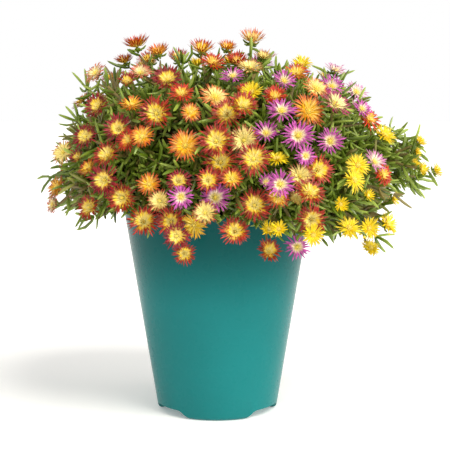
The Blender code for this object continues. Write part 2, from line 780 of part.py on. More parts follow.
def plan_leaf_tips(core, walls, draw, start, sweep):
    """Shoot tips all over a bush's outside, each clear of what stands round it."""
    tips = []
    places = []
    for point, aim, skirt in tip_places(core, start, sweep):
        if not skirt and any((point - other).length < TIP_SPACING for other in places):
            continue
        for attempt in range(12):
            lean = Vector([draw.uniform(-TIP_LEAN, TIP_LEAN) for _ in range(3)])
            length = LEAF_LENGTH * (1.06 - 0.035 * attempt)
            opening = math.radians(draw.uniform(*LEAF_OPENING))
            lift = LEAF_ROOT * 1.6 + TIP_LIFT * draw.random() ** 1.5
            placement = facing(point + aim * lift, (aim + lean).normalized(),
                               draw.uniform(0, 1.5))
            solid = leaf_tip(placement, length, opening, draw, LEAVES_PER_TIP, point - aim * TIP_ROOT)
            if not hits(solid, walls):
                tips.append(solid)
                places.append(point)
                break
            solid.free()
    return tips


def shoot(tip, cores, walls, draw):
    """A trailing leafy shoot that stands out of the mound."""
    ground, outward, _, _ = nearest_core(tip, cores)
    stem_end = tip - (tip - ground).normalized() * LEAF_LENGTH * 0.5
    for attempt in range(12):
        jitter = Vector([draw.uniform(-1, 1) * 0.001 * attempt for _ in range(3)])
        end = stem_end + jitter
        root = ground - outward * SHOOT_ROOT
        bend = (root + end) / 2 + outward * SHOOT_ROOT - Vector((0, 0, SHOOT_SAG))
        pieces = [rod((root, bend, end), (SHOOT_RADIUS, SHOOT_RADIUS, SHOOT_RADIUS * 0.7))]
        way = (end - bend).normalized()
        reach = LEAF_LENGTH * (0.86 - 0.03 * attempt)
        for place, share, spin in ((bend, 0.75, 0.3), (end - way * 0.001, 1.0, 1.1)):
            stalk_end = place - way * LEAF_ROOT * 2.5
            pieces.append(leaf_tip(facing(place, way, spin), reach * share,
                                   math.radians(WHORL_OPENING), draw, LEAVES_PER_WHORL, stalk_end))
        if not any(hits(piece, walls) for piece in pieces):
            return pieces
        for piece in pieces:
            piece.free()
    return []


def build_plants(pot, soil):
    holder = [tree_of(evaluated_bmesh(pot)), tree_of(evaluated_bmesh(soil))]
    third = 2 * math.pi / 3
    starts = [math.radians(150), math.radians(270), math.radians(30)]
    names = ["foliage_left", "foliage_right", "foliage_back"]
    solids = [core_sector(start, third, CORE_STEPS) for start in starts]
    cores = [tree_of(solid) for solid in solids]

    sprays = list_blooms()
    trees = settle_blooms(sprays, holder + cores)
    spray_trees = []
    for name, colour, blooms in sorted(sprays, key=lambda spray: len(spray[2])):
        others = list(holder) + spray_trees
        for other, list_of_trees in trees.items():
            if other != name:
                others += list_of_trees
        stalks = grow_spray(blooms, trees[name], cores, others, random.Random(name))
        spray = fuse(name, stalks, colour, 0.5)
        shape = evaluated_bmesh(spray)
        spray_trees.append(tree_of(shape))
        shape.free()

    finished = []
    for index, (name, solid, start) in enumerate(zip(names, solids, starts)):
        draw = random.Random(BUSH_SEEDS[index])
        own = cores[index]
        walls = holder + spray_trees + finished
        walls += [core for other, core in enumerate(cores) if other != index]
        tips = []
        for across, back, high in SHOOT_TIPS:
            tip = Vector((across, back, high)) / 1000
            azimuth = math.atan2(tip.y, tip.x) % (2 * math.pi)
            turn = (azimuth - start) % (2 * math.pi)
            if turn < third:
                tips += shoot(tip, [own], walls, draw)
        tips += plan_leaf_tips(own, walls, draw, start, third)
        place = crown_places()[index]
        crown = cylinder(CROWN_RADIUS, CROWN_FOOT_Z, CORE_BASE_Z + 0.004, CROWN_SIDES, place)
        bush = fuse(name, [solid, crown] + tips, "leaf", 0.55)
        shape = evaluated_bmesh(bush)
        finished.append(tree_of(shape))
        shape.free()


clear_scene()
the_pot = build_pot()
the_soil = build_soil()
build_plants(the_pot, the_soil)
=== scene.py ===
"""A potted ice plant: its looks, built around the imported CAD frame."""
import math
import random

import bmesh
import bpy
import numpy as np
from mathutils import Matrix, Vector
from mathutils.bvhtree import BVHTree


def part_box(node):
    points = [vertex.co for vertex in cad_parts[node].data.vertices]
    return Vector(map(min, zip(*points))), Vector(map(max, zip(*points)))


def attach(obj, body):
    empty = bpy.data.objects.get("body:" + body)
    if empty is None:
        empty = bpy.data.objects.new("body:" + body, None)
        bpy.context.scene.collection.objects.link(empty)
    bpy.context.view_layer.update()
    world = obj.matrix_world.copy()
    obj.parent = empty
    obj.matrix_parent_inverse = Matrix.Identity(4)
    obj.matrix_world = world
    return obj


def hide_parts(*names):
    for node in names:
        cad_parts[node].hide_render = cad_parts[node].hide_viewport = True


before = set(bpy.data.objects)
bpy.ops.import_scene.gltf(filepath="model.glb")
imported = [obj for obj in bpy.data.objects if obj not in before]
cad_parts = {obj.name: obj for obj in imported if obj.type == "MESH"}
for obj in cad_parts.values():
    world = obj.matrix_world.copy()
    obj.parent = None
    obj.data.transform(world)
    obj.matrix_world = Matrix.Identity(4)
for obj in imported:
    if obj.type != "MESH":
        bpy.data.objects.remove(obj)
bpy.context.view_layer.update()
bpy.ops.object.select_all(action="DESELECT")

# Studio: a pale floor, soft white light all round, five broad warm suns with the strongest at the
# upper right, and the camera a metre in front, a little above the blooms and looking slightly down.
EYE = Vector((0.0, -1.03, 0.27))
EYE_DOWN = math.radians(5.65)
EYE_RIGHT = math.radians(0.393)
EYE_ANGLE = math.radians(22.4)
STUDIO_WHITE = (1.0, 1.0, 1.0, 1.0)
STUDIO_FILL = 0.31
FLOOR_SIZE = 60.0
FLOOR_PALE = (0.95, 0.95, 0.95, 1.0)
FLOOR_GLOW = 0.24
SUN_COLOUR = (1.0, 0.965, 0.89)
# Where each sun shines from, how many degrees wide it is, and its strength
SUNS = (
    ((0.75, -1.0, 1.4), 30, 2.45),
    ((1.5, -0.7, 0.6), 40, 1.0),
    ((1.4, -0.9, 0.2), 50, 0.65),
    ((-0.1, -1.0, 0.35), 60, 0.7),
    ((-0.9, 0.5, 1.5), 60, 0.7),
)


def paint(name, roughness, specular):
    """A new material, with its recipe of nodes and its shader."""
    material = bpy.data.materials.new(name)
    material.use_nodes = True
    recipe = material.node_tree
    shader = recipe.nodes["Principled BSDF"]
    shader.inputs["Roughness"].default_value = roughness
    shader.inputs["Specular IOR Level"].default_value = specular
    return material, recipe, shader


bpy.ops.object.camera_add(location=EYE, rotation=(math.pi / 2 - EYE_DOWN, 0.0, -EYE_RIGHT))
camera = bpy.context.object
camera.data.angle = EYE_ANGLE
bpy.context.scene.camera = camera
bpy.context.scene.view_settings.view_transform = "Standard"

bpy.ops.mesh.primitive_plane_add(size=FLOOR_SIZE, location=(0.0, 0.0, 0.0))
floor = bpy.context.object
floor.name = "floor"
floor_paint, _, shader = paint("floor_paint", roughness=0.9, specular=0.5)
shader.inputs["Base Color"].default_value = FLOOR_PALE
shader.inputs["Emission Color"].default_value = STUDIO_WHITE
shader.inputs["Emission Strength"].default_value = FLOOR_GLOW
floor.data.materials.append(floor_paint)

for place, spread, power in SUNS:
    aim = -Vector(place)
    turn = aim.to_track_quat("-Z", "Y").to_euler()
    bpy.ops.object.light_add(type="SUN", location=place, rotation=turn)
    sun = bpy.context.object
    sun.data.angle = math.radians(spread)
    sun.data.energy = power
    sun.data.color = SUN_COLOUR

studio = bpy.data.worlds.new("studio")
bpy.context.scene.world = studio
studio.use_nodes = True
recipe = studio.node_tree
sky = recipe.nodes["Background"]
sky.inputs["Color"].default_value = STUDIO_WHITE
seen = recipe.nodes.new("ShaderNodeLightPath")
level = recipe.nodes.new("ShaderNodeMapRange")
level.inputs["To Min"].default_value = STUDIO_FILL
level.inputs["To Max"].default_value = 1.0
recipe.links.new(seen.outputs["Is Camera Ray"], level.inputs["Value"])
recipe.links.new(level.outputs[0], sky.inputs["Strength"])

# Pot: one thin moulded plastic grower pot in satin teal, tapered, with a small rolled rim, a foot
# ring broken by four low arches and drain holes. It is drawn up ring by ring from its base.
POT_TEAL = (0.01, 0.192, 0.196, 1.0)
POT_TEAL_DEEP = (0.009, 0.165, 0.167, 1.0)
# Painted shade: the wall darkens to this colour towards the top, for the foliage's shadow on it
POT_PAINTED_SHADE = (0.002, 0.092, 0.092, 1.0)
POT_PAINTED_SHADE_FROM = 0.095
POT_PAINTED_SHADE_TO = 0.165
POT_CLOUDS = 18.0
POT_GRAIN = 120.0
POT_GRAIN_DEPTH = 0.0003
POT_ROUGHNESS = (0.26, 0.3)
POT_SIDES = 128
POT_WALL = 0.0014
POT_FLOOR = 0.0078
POT_RIM_HEIGHT = 0.0045
POT_CORNER = 0.004
# The base's corner as heights and shares of its size that are cut off, and the rim's curve as
# steps up and in from its lower edge, then down and in from its top
CORNER_CURVE = ((0.0, 1.0), (0.0005, 0.55), (0.0016, 0.2))
RIM_UNDERSIDE = ((0.0007, 0.0006), (0.0014, 0.0))
RIM_TOP = ((0.0012, 0.0), (0.0003, 0.0005), (0.0, 0.0014))
RIM_INSIDE = 0.0005
FLOOR_CORNER = 0.002
POT_TOP_SHARE = 0.986
POT_BASE_SHARE = 0.633
ARCH_SIZE = (0.034, 0.05, 0.0142)
ARCH_TOP_SHARE = 0.725
ARCH_ROUNDING = 0.004
ARCH_FROM_SIDE = math.radians(34)
ARCH_FROM_AXIS = 0.053
DRAIN_RADIUS = 0.004
DRAIN_SIDES = 24
DRAIN_DEPTH = 0.03
DRAIN_FROM_AXIS = 0.0425
NOISE_LOW = 0.3
NOISE_HIGH = 0.7


def select_only(piece):
    """Makes one object the active and only selected one."""
    bpy.ops.object.select_all(action="DESELECT")
    piece.select_set(True)
    bpy.context.view_layer.objects.active = piece


def draw_up(name, sides, line, close_tip=False):
    """A closed turned shape: a disc drawn up along +Z through the (height, radius) of a line."""
    bpy.ops.object.select_all(action="DESELECT")
    height, radius = line[0]
    bpy.ops.mesh.primitive_circle_add(vertices=sides, radius=radius, fill_type="NGON",
                                      location=(0.0, 0.0, height))
    turned = bpy.context.object
    turned.name = name
    bpy.ops.object.transform_apply(location=True, rotation=True, scale=True)
    bpy.ops.object.mode_set(mode="EDIT")
    bpy.ops.mesh.select_all(action="SELECT")
    for last, following in zip(line, line[1:]):
        rise = following[0] - last[0]
        bpy.ops.mesh.extrude_region_move(TRANSFORM_OT_translate={"value": (0.0, 0.0, rise)})
        share = following[1] / last[1]
        bpy.ops.transform.resize(value=(share, share, 1.0))
    if close_tip:
        bpy.ops.mesh.merge(type="CENTER")
    bpy.ops.mesh.select_all(action="SELECT")
    bpy.ops.mesh.normals_make_consistent(inside=False)
    bpy.ops.object.mode_set(mode="OBJECT")
    return turned


def add_node(recipe, kind, **settings):
    """A node with its settings, and the values of its sockets under their names with spaces as _."""
    node = recipe.nodes.new(kind)
    for key, value in settings.items():
        if hasattr(node, key):
            setattr(node, key, value)
        else:
            node.inputs[key.replace("_", " ")].default_value = value
    return node


def fill_sockets(recipe, sockets, given):
    """Gives each socket its value, or links it where a socket is given."""
    for socket, value in zip(sockets, given):
        if isinstance(value, bpy.types.NodeSocket):
            recipe.links.new(value, socket)
        else:
            socket.default_value = value


def object_place(recipe):
    """The place on the piece, in its own coordinates."""
    return add_node(recipe, "ShaderNodeTexCoord").outputs["Object"]


def add_noise(recipe, scale, detail=3.0, vector=None):
    """Noise on the piece's own coordinates, or on another vector."""
    noise = add_node(recipe, "ShaderNodeTexNoise", Scale=scale, Detail=detail)
    recipe.links.new(vector or object_place(recipe), noise.inputs["Vector"])
    return noise.outputs["Fac"]


def add_mix(recipe, factor, first, second):
    """Mixes two colours; each is a colour or a socket."""
    mix = add_node(recipe, "ShaderNodeMix", data_type="RGBA")
    fill_sockets(recipe, (mix.inputs[0], mix.inputs[6], mix.inputs[7]), (factor, first, second))
    return mix.outputs[2]


def add_range(recipe, value, low, high, to_low, to_high, smooth=False):
    """Maps a value from one range to another; the first range may be sockets."""
    node = add_node(recipe, "ShaderNodeMapRange")
    if smooth:
        node.interpolation_type = "SMOOTHSTEP"
    fill_sockets(recipe, node.inputs, (value, low, high, to_low, to_high))
    return node.outputs[0]


def add_bump(recipe, shader, height, strength, depth):
    """Lifts the surface's light and shade by a height."""
    bump = add_node(recipe, "ShaderNodeBump", Strength=strength, Distance=depth)
    recipe.links.new(height, bump.inputs["Height"])
    recipe.links.new(bump.outputs["Normal"], shader.inputs["Normal"])


pot_low, pot_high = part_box("pot")
pot_height = pot_high.z - pot_low.z
rim_radius = pot_high.x
top_radius = rim_radius * POT_TOP_SHARE
base_radius = rim_radius * POT_BASE_SHARE


def pot_radius(height):
    """The outer radius of the pot's wall at a height."""
    return base_radius + (top_radius - base_radius) * height / pot_height


def round_axis(angle, distance):
    """A place on the ground at an angle round the pot's axis."""
    return Vector((math.cos(angle), math.sin(angle), 0.0)) * distance


def cut_from_pot(cutter):
    """Cuts a shape out of the pot and takes the cutter away."""
    select_only(pot)
    cut = pot.modifiers.new("cut", "BOOLEAN")
    cut.operation = "DIFFERENCE"
    cut.object = cutter
    cut.solver = "EXACT"
    bpy.ops.object.modifier_apply(modifier=cut.name)
    bpy.data.objects.remove(cutter, do_unlink=True)


# Height and radius: up the outside, over the rolled rim and down the inside to the floor
lip = pot_height - POT_RIM_HEIGHT
wall_line = [(height, base_radius - POT_CORNER * share) for height, share in CORNER_CURVE]
quarters = [pot_height * share for share in (0.25, 0.5, 0.75)]
wall_line += [(height, pot_radius(height)) for height in (POT_CORNER, *quarters, lip)]
wall_line += [(lip + rise, rim_radius - inset) for rise, inset in RIM_UNDERSIDE]
wall_line += [(pot_height - drop, rim_radius - inset) for drop, inset in RIM_TOP]
wall_line += [(pot_height - RIM_INSIDE, pot_radius(pot_height) - POT_WALL),
              (POT_FLOOR + FLOOR_CORNER, pot_radius(POT_FLOOR) - POT_WALL),
              (POT_FLOOR, pot_radius(POT_FLOOR) - POT_WALL - FLOOR_CORNER)]
pot = draw_up("grower_pot", POT_SIDES, wall_line)
# Two arches towards each side, and a drain hole in each quarter
for quarter in range(4):
    angle = math.pi * (quarter // 2) + ARCH_FROM_SIDE * (-1) ** quarter
    bpy.ops.object.select_all(action="DESELECT")
    bpy.ops.mesh.primitive_cube_add(size=1.0, location=round_axis(angle, ARCH_FROM_AXIS),
                                    rotation=(0.0, 0.0, angle), scale=ARCH_SIZE)
    arch = bpy.context.object
    bpy.ops.object.transform_apply(location=False, rotation=False, scale=True)
    for corner in arch.data.vertices:
        corner.co.y *= ARCH_TOP_SHARE if corner.co.z > 0 else 2 - ARCH_TOP_SHARE
    rounding = arch.modifiers.new("round", "BEVEL")
    rounding.width = ARCH_ROUNDING
    rounding.segments = 4
    bpy.ops.object.modifier_apply(modifier=rounding.name)
    cut_from_pot(arch)
    angle = math.pi / 4 + quarter * math.pi / 2
    bpy.ops.mesh.primitive_cylinder_add(vertices=DRAIN_SIDES, radius=DRAIN_RADIUS, depth=DRAIN_DEPTH,
                                        location=round_axis(angle, DRAIN_FROM_AXIS))
    cut_from_pot(bpy.context.object)
select_only(pot)
bpy.ops.object.shade_smooth_by_angle(angle=math.radians(30))

satin_plastic, recipe, shader = paint("satin_teal_plastic", roughness=0.28, specular=0.1)
teal = add_mix(recipe, add_noise(recipe, POT_CLOUDS), POT_TEAL_DEEP, POT_TEAL)
spot = add_node(recipe, "ShaderNodeSeparateXYZ")
recipe.links.new(object_place(recipe), spot.inputs[0])
# Painted shade: the top of the pot is darkened as the shadow under the overhanging foliage
painted_shade = add_range(recipe, spot.outputs["Z"], POT_PAINTED_SHADE_FROM, POT_PAINTED_SHADE_TO, 0.0, 1.0, smooth=True)
recipe.links.new(add_mix(recipe, painted_shade, teal, POT_PAINTED_SHADE), shader.inputs["Base Color"])
grain = add_noise(recipe, POT_GRAIN, detail=2.0)
satin = add_range(recipe, grain, NOISE_LOW, NOISE_HIGH, *POT_ROUGHNESS)
recipe.links.new(satin, shader.inputs["Roughness"])
add_bump(recipe, shader, grain, strength=0.05, depth=POT_GRAIN_DEPTH)
pot.data.materials.append(satin_plastic)
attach(pot, "root")
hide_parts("pot")

# Soil: dark, crumbly potting mix with bark fines and pale grit, filled in to a little below the
# rim. The frame's own soil is kept, and only gets its material.
SOIL_DARK = (0.012, 0.007, 0.004, 1.0)
SOIL_BROWN = (0.085, 0.05, 0.028, 1.0)
SOIL_GRIT = (0.2, 0.16, 0.11, 1.0)
CRUMB_GRAIN = 260.0
CRUMB_DEPTH = 0.002
GRIT_GRAIN = 420.0
GRIT_EDGE = (0.05, 0.18)

potting_mix, recipe, shader = paint("potting_mix", roughness=0.95, specular=0.2)
crumbs = add_noise(recipe, CRUMB_GRAIN, detail=6.0)
grit = add_node(recipe, "ShaderNodeTexVoronoi", Scale=GRIT_GRAIN)
recipe.links.new(object_place(recipe), grit.inputs["Vector"])
brown = add_mix(recipe, crumbs, SOIL_DARK, SOIL_BROWN)
pale = add_range(recipe, grit.outputs["Distance"], *GRIT_EDGE, 1.0, 0.0)
recipe.links.new(add_mix(recipe, pale, brown, SOIL_GRIT), shader.inputs["Base Color"])
add_bump(recipe, shader, crumbs, strength=0.9, depth=CRUMB_DEPTH)
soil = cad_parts["soil"]
soil.data.materials.clear()
soil.data.materials.append(potting_mix)

# Inner thicket: the mass of old stems and leaves in the middle of the mound, which the shoots stand
# out of, coloured near black as painted shade for the gaps between them. One lumpy body, a ball
# shaped to the mound's outline and dented.
MOUND_CENTRE_Z = 0.207
MOUND_LEFT = 0.142
MOUND_RIGHT = 0.16
MOUND_DEPTH = 0.135
MOUND_TOP = 0.112
MOUND_BOTTOM = 0.075
MOUND_POWER = 2.6
MOUND_SLOPE = 0.04
THICKET_INSET = 0.038
THICKET_BASE_Z = 0.187
THICKET_BASE_WAVE = 0.001
THICKET_LUMP = 0.006
# Painted shade: the thicket's near-black colours stand for the shade deep in the mound
THICKET_PAINTED_SHADE_DARK = (0.012, 0.01, 0.001, 1.0)
THICKET_PAINTED_SHADE_GREEN = (0.07, 0.06, 0.01, 1.0)
THICKET_GRAIN = 160.0
THICKET_RELIEF = 0.004


def mound_place(direction, inset):
    """The place on the mound's outline, set in by some depth, in a direction from its centre."""
    side = (MOUND_RIGHT if direction.x > 0 else MOUND_LEFT) - inset
    height = (MOUND_TOP if direction.z > 0 else MOUND_BOTTOM) - inset
    total = (abs(direction.x / side) ** MOUND_POWER
             + abs(direction.y / (MOUND_DEPTH - inset)) ** MOUND_POWER
             + abs(direction.z / height) ** MOUND_POWER)
    place = direction * total ** (-1 / MOUND_POWER)
    place.z += MOUND_CENTRE_Z - MOUND_SLOPE * place.x
    return place


def mound_outward(direction):
    """The direction that the mound's outline faces there."""
    side = MOUND_RIGHT if direction.x > 0 else MOUND_LEFT
    height = MOUND_TOP if direction.z > 0 else MOUND_BOTTOM
    slope = [math.copysign(abs(part / size) ** (MOUND_POWER - 1) / size, part)
             for part, size in zip(direction, (side, MOUND_DEPTH, height))]
    return Vector(slope).normalized()


bpy.ops.object.select_all(action="DESELECT")
bpy.ops.mesh.primitive_ico_sphere_add(subdivisions=5, radius=1.0)
thicket = bpy.context.object
thicket.name = "inner_thicket"
draw = random.Random(3)
for corner in thicket.data.vertices:
    direction = corner.co.normalized()
    place = mound_place(direction, THICKET_INSET)
    place += direction * draw.uniform(-THICKET_LUMP, THICKET_LUMP)
    place.z = max(place.z, THICKET_BASE_Z + draw.uniform(0.0, THICKET_BASE_WAVE))
    corner.co = place
bpy.ops.object.shade_flat()
painted_shade_thicket, recipe, shader = paint("painted_shade_thicket", roughness=0.8, specular=0.2)
patches = add_noise(recipe, THICKET_GRAIN, detail=5.0)
recipe.links.new(add_mix(recipe, patches, THICKET_PAINTED_SHADE_DARK, THICKET_PAINTED_SHADE_GREEN), shader.inputs["Base Color"])
add_bump(recipe, shader, patches, strength=0.8, depth=THICKET_RELIEF)
thicket.data.materials.append(painted_shade_thicket)
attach(thicket, "root")

# Shoots: trailing stems with narrow, fleshy, finger-like leaves in opposite pairs, each pair turned
# a quarter from the last. One leaf and one stem are drawn up, and every copy is bent to its place.
LEAF_LINE = ((0.0, 0.32), (0.2, 0.46), (0.6, 0.5), (0.9, 0.32), (1.0, 0.1))
LEAF_LENGTH = 0.025
LEAF_WIDTH = 0.003
LEAF_LENGTHS = (0.85, 1.1)
LEAF_WIDTHS = (0.78, 1.1)
LEAF_THICKNESSES = (0.78, 0.95)
LEAF_BOWS = (-0.24, 0.1)
LEAF_FOOT = 0.2
LEAF_SPREADS = (38, 62)
LEAF_SPREAD_AT_TIP = 26
LEAF_SPREAD_SHARES = (0.8, 1.2)
LEAF_WANDER = 0.09
LEAF_DROOP = 0.05
LEAF_TONES = (-0.22, 0.26)
LEAF_TINTS = ((0.031, 0.048, 0.002, 1.0), (0.12, 0.19, 0.009, 1.0), (0.41, 0.52, 0.09, 1.0))
OLD_LEAF = (0.2, 0.14, 0.045, 1.0)
STEM_LINE = ((0.0, 0.55), (0.35, 0.5), (0.7, 0.45), (1.0, 0.3))
STEM_WIDTH = 0.0019
STEM_WANDER = 0.06
STEM_RISE = 0.05
STEM_TINTS = ((0.08, 0.055, 0.015, 1.0), (0.19, 0.15, 0.04, 1.0), (0.33, 0.23, 0.08, 1.0))
FIRST_JOINT = 0.22
SHORTER_AT_TIP = 0.25
JOINT_SPACING = 0.012
# Leaves are darker at the base and lighter at the tip: partly fresher growth, partly painted highlight
FRESHER_AND_HIGHLIT_AT_TIP = 0.16
BLOTCH_GRAIN = 120.0
BLOTCH_TONE = 0.12
SKIN_GRAIN = 1500.0
SKIN_DEPTH = 0.0004
# The leaves' tint is lighter to the right and at the top: partly fresher growth, partly painted light
TINT_MIDDLE = 0.5
LIT_AND_FRESHER_RIGHT = 0.3
LIT_AND_FRESHER_UP = 0.6
TINT_LIMITS = (0.3, 0.7)
GOLDEN_SHARE = 0.618
# Each bush: where its third of the mound starts, in degrees round the axis, and its draws' seed
BUSHES = {"foliage_left": (150, 21), "foliage_right": (270, 22), "foliage_back": (30, 23)}
FILL_SHOOTS = 1500
FILL_INSET = (0.014, 0.032)
FILL_AIRY = 0.016
FILL_AIRY_LEFT = 0.04
FILL_AIRY_FROM = 0.25
FILL_LOWEST = -0.42
FILL_ROOT_Z = 0.19
FILL_ROOT_DEPTH = 0.003
FILL_TURN = 0.03
FILL_LEAN = 0.01
FILL_JOINTS = (3, 4, 4, 5)
FILL_TONES = (-0.18, 0.12)
FILL_LENGTHS = (0.75, 1.05)
OLD_SHARE = 0.22
OLD_TONES = (0.4, 1.0)
SKIRT_FROM = -0.16
SKIRT_RIGHT_FROM = 0.3
SKIRT_FRONT_TO = 0.2
ARM_SHOOTS = 34
ARM_LOW = (0.148, -0.03, 0.204)
ARM_HIGH = (0.184, 0.03, 0.246)
ARM_RUN = (0.014, 0.034)
ARM_RISE = (-0.012, 0.008)
ARM_SWERVE = 0.008
ARM_JOINTS = (3, 4)
ARM_LENGTHS = (0.6, 0.9)
ARM_TONE = (0.62, 0.0, 0.0)
CROWN_FROM_AXIS = 0.038
CROWN_HEIGHTS = (0.162, 0.2)
CROWN_WIDTH = 0.0085
CROWN_BOW = Vector((0.001, 0, 0))
CROWN_TONE = (0.3, 0.0, 0.0)
FRINGE_LEFT_Z = 0.182
FRINGE_RIGHT_Z = 0.163
FRINGE_FALLS_FROM = -0.02
FRINGE_FALLS_OVER = 0.1
FRINGE_RAGGED = 0.004
FRINGE_WAVES = (310, 270)
BLOOM_CLEAR = 0.74
BLOOM_CLEAR_BEHIND = 0.003
BLOOM_CLEAR_DEPTH = 0.016
POT_CLEAR_ABOVE = 0.003
POT_CLEAR_ASIDE = 0.005
# The frame's stars: a crown corner with long edges to its tips and short ones to the notches between
MERGE = 0.00001
LONG_EDGE = 0.005
EVEN_STEPS = 1.02
BLOOM_EDGES = 16
LEAFY_TIP_EDGES = 8
TIP_ROOT_DEPTH = 0.004
TIP_LEAF_SINK = 0.002
TIP_LENGTH_SHARE = 0.85
TIP_TONES = (-0.1, 0.25)
TIP_WIDTHS = (0.85, 1.15)


def merged_copy(node):
    """The node's mesh as one connected bmesh."""
    shape = bmesh.new()
    shape.from_mesh(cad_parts[node].data)
    bmesh.ops.remove_doubles(shape, verts=shape.verts, dist=MERGE)
    return shape


def stars_in(shape, fewest):
    """Every star as (crown corner, middle, facing, tips): a crown has at least the fewest edges."""
    stars = []
    for crown in shape.verts:
        around = [edge.other_vert(crown) for edge in crown.link_edges]
        if len(around) < fewest or len(around) % 2:
            continue
        around.sort(key=lambda corner: -(corner.co - crown.co).length)
        tips = around[:len(around) // 2]
        notches = around[len(around) // 2:]
        steps = [(corner.co - crown.co).length for corner in notches]
        if (tips[-1].co - crown.co).length < LONG_EDGE or steps[0] > steps[-1] * EVEN_STEPS:
            continue
        middle = sum((corner.co for corner in notches), Vector()) / len(notches)
        facing = (crown.co - middle).normalized()
        stars.append((crown, middle, facing, [tip.co.copy() for tip in tips]))
    return stars


def draw_up_pattern(name, sides, line):
    """A pattern one unit long, drawn up along +Z, as corners and faces, to be bent and copied."""
    turned = draw_up(name, sides, line, close_tip=True)
    corners = np.array([corner.co for corner in turned.data.vertices])
    faces = [list(face.vertices) for face in turned.data.polygons]
    bpy.data.objects.remove(turned, do_unlink=True)
    return corners, faces


def bent_copies(pattern, columns, **values):
    """Copies of a pattern, each laid from root to tip with a bow and holding its own values.

    The columns are root, tip, side, bow (3 each), width and thickness.
    """
    corners, _ = pattern
    root, tip, side, bow, width, thick = [np.array(column, float) for column in columns]
    along = corners[:, 2][None, :, None]
    chord = (tip - root)[:, None, :]
    bow = bow[:, None, :]
    line = root[:, None, :] + chord * along + bow * (4 * along * (1 - along))
    way = chord + bow * 4 * (1 - 2 * along)
    way /= np.linalg.norm(way, axis=2, keepdims=True)
    up = np.cross(way, np.broadcast_to(side[:, None, :], way.shape))
    up /= np.linalg.norm(up, axis=2, keepdims=True)
    across = np.cross(up, way)
    placed = (line + across * (corners[:, 0][None, :, None] * width[:, None, None])
              + up * (corners[:, 1][None, :, None] * thick[:, None, None]))
    return pattern, placed, values


def hold_values(mesh, name, values):
    """Three values at every corner, under a name that a material reads."""
    layer = mesh.attributes.new(name, "FLOAT_VECTOR", "POINT")
    layer.data.foreach_set("vector", np.asarray(values, np.float32).ravel())


def gather_copies(name, runs):
    """One piece from several runs of bent copies.

    The values called place hold how far along, how far across and which copy a corner is.
    """
    corners, faces, places = [], [], []
    held = {}
    start = 0
    for pattern, placed, own in runs:
        count, size = placed.shape[:2]
        corners.append(placed.reshape(-1, 3))
        loops = [np.array(face) for face in pattern[1]]
        for copy in range(count):
            faces += [(face + start + copy * size).tolist() for face in loops]
        start += count * size
        place = np.zeros((count, size, 3))
        place[:, :, 0] = pattern[0][:, 2]
        place[:, :, 1] = pattern[0][:, 0]
        place[:, :, 2] = (np.arange(count) * GOLDEN_SHARE % 1.0)[:, None]
        places.append(place.reshape(-1, 3))
        for key, values in own.items():
            held.setdefault(key, []).append(np.repeat(np.array(values, float), size, axis=0))
    mesh = bpy.data.meshes.new(name)
    mesh.from_pydata(np.concatenate(corners).tolist(), [], faces)
    gathered = bpy.data.objects.new(name, mesh)
    bpy.context.scene.collection.objects.link(gathered)
    held["place"] = places
    for key, values in held.items():
        hold_values(mesh, key, np.concatenate(values))
    select_only(gathered)
    bpy.ops.object.shade_smooth_by_angle(angle=math.radians(50))
    return gathered


def kept_rows(columns, keep):
    """The columns with only the rows that are kept."""
    return [[value for value, good in zip(column, keep) if good] for column in columns]


blooms = []
spray_nodes = [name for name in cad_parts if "spray" in name]
for node in sorted(spray_nodes):
    shape = merged_copy(node)
    for crown, middle, facing, tips in stars_in(shape, BLOOM_EDGES):
        reach = max((tip - middle).length for tip in tips)
        blooms.append({"node": node, "kind": node.split("_")[0], "place": middle, "facing": facing,
                       "reach": reach})
    shape.free()
bloom_places, bloom_facings, bloom_reaches = (np.array([bloom[key] for bloom in blooms])
                                              for key in ("place", "facing", "reach"))


def clear_of_blooms(points):
    """Which points lie in no bloom and not close in front of one."""
    away = points[:, None, :] - bloom_places[None, :, :]
    depth = (away * bloom_facings[None, :, :]).sum(2)
    aside = np.linalg.norm(away - depth[:, :, None] * bloom_facings[None, :, :], axis=2)
    inside = (depth > -BLOOM_CLEAR_BEHIND) & (depth < BLOOM_CLEAR_DEPTH)
    return ~(inside & (aside < bloom_reaches * BLOOM_CLEAR)).any(1)


def clear_of_fringe(points):
    """Which points lie above the mound's ragged lower fringe, which hangs lower on the right."""
    share = np.clip((points[:, 0] - FRINGE_FALLS_FROM) / FRINGE_FALLS_OVER, 0.0, 1.0)
    fringe = FRINGE_LEFT_Z + (FRINGE_RIGHT_Z - FRINGE_LEFT_Z) * share
    waves = points[:, 0] * FRINGE_WAVES[0] + points[:, 1] * FRINGE_WAVES[1]
    return points[:, 2] > fringe + FRINGE_RAGGED * np.sin(waves)


def clear_of_pot(points):
    """Which points lie outside the pot's wall and above the mound's lower fringe."""
    radius = np.linalg.norm(points[:, :2], axis=1)
    above = points[:, 2] > pot_height + POT_CLEAR_ABOVE
    aside = radius > pot_radius(points[:, 2]) + POT_CLEAR_ASIDE
    return (above | aside) & clear_of_fringe(points)


def wander(draw, amount):
    """A small push in a random direction."""
    return Vector([draw.gauss(0, amount) for _ in range(3)])


def square_to(way, draw):
    """Two directions square to a way and to each other, at a random turn."""
    first = way.orthogonal().normalized()
    first.rotate(Matrix.Rotation(draw.uniform(0.0, math.pi), 3, way))
    return first, way.cross(first)


